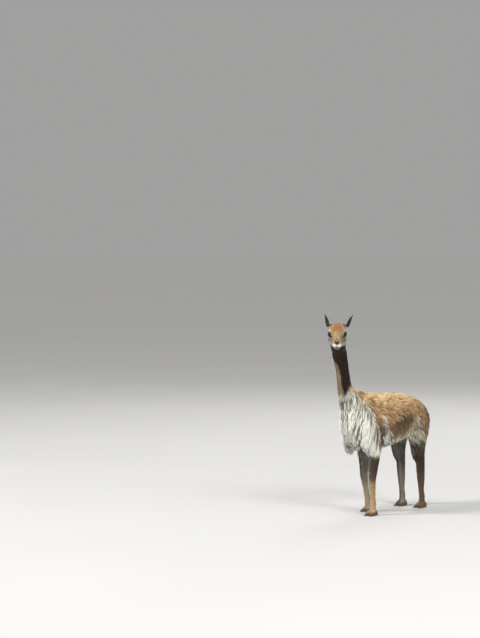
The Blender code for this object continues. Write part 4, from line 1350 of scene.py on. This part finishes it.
def floor_and_light():
    """A plain pale floor and soft light, mostly from above and the left of the picture."""
    bpy.ops.object.select_all(action="DESELECT")
    bpy.ops.mesh.primitive_plane_add(size=700.0)
    floor = bpy.context.active_object
    floor.name = "floor"
    plain, tree, shader = new_material("pale floor")
    place = add(tree, "TexCoord", {}).outputs["Object"]
    cloud = add(tree, "TexNoise", {"Vector": place, "Scale": 0.6}).outputs["Fac"]
    tone = ramp(tree, cloud, (0.0, (0.400, 0.395, 0.386)), (1.0, (0.428, 0.423, 0.414)))
    wire(tree, shader, {"Base Color": tone, "Roughness": 0.9, "Specular IOR Level": 0.1})
    floor.data.materials.append(plain)
    for name, kind, place, aim, power, settings in LAMPS:
        bpy.ops.object.light_add(type=kind, location=place)
        lamp = bpy.context.active_object
        lamp.name = name
        lamp.data.energy = power
        for key, value in settings.items():
            setattr(lamp.data, key, value)
        lamp.rotation_euler = (Vector(aim) - Vector(place)).to_track_quat("-Z", "Y").to_euler()
    scene = bpy.context.scene
    scene.world = scene.world or bpy.data.worlds.new("studio")
    scene.world.use_nodes = True
    tree = scene.world.node_tree
    wire(tree, tree.nodes["Background"], {"Color": (0.980, 0.975, 0.965, 1.0), "Strength": 0.362})
    scene.view_settings.view_transform = "Standard"


def photo_camera():
    """The camera at the photograph's place, with its turn and lens."""
    bpy.ops.object.camera_add(location=CAMERA_AT)
    camera = bpy.context.active_object
    camera.name = "camera"
    back = Vector(CAMERA_BACK).normalized()
    right = Vector((-back.y, back.x, 0.0)).normalized()
    up = back.cross(right)
    camera.rotation_euler = Matrix((right, up, back)).transposed().to_euler()
    camera.data.sensor_width = SENSOR
    camera.data.lens = SENSOR * FOCAL / PHOTO_HEIGHT
    camera.data.clip_end = 1500.0
    bpy.context.scene.camera = camera


def finish_piece(piece, material, slot, *nodes):
    """Give a piece its finish and hide the solids that it stands for; the slot is not used."""
    piece.data.materials.clear()
    piece.data.materials.append(material)
    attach(piece, "root")
    if nodes:
        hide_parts(*nodes)


def main():
    bpy.ops.object.select_all(action="DESELECT")
    hull, grid = body_fields()
    skin = skin_mesh(grid)
    shape_face(skin)
    print("skin", len(skin.data.polygons), "triangles")
    grain = grain_group()
    hair = {kind: hair_material(grain, *values) for kind, values in HAIR.items()}
    finishes = {"breast": (hair["locks"], "white_coat"), "neck": (hair["dark"], "dark_coat"),
                "leg": (hair["dark"], "dark_coat")}
    places = points_of(skin)
    # the skin painted darker than the coat's colours: painted shade at the roots, most beneath the
    # breast's locks and under the trunk's wool
    shade = 0.85 - 0.40 * breast_zone(places) - 0.20 * zones(places)["trunk"]
    paint(skin, marks_and_painted_light(places, normals_of(skin)) * shade[:, None])
    finish_piece(skin, hair["hide"], "cinnamon_coat", *FLESH, *FEET)
    for *given, kind in COATS:
        finish = finishes.get(given[1], (hair["wool"], "cinnamon_coat"))
        finish_piece(coat_piece(*given, hull, skin, **kind), *finish)
    finish_piece(lashes(hull), hair["dark"], "dark_coat")
    wet = eye_material()
    finish_piece(eyeball(1), wet, "eye", "eye_left")
    finish_piece(eyeball(-1), wet, "eye", "eye_right")
    horn = nail_material()
    for node in sorted(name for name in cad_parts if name.startswith("nail")):
        nail = copy_node(node, "horn_" + node[5:])
        settle(nail, "SUBSURF", levels=1, render_levels=1)
        smooth_look(nail)
        finish_piece(nail, horn, "nail", node)
    floor_and_light()
    photo_camera()


main()
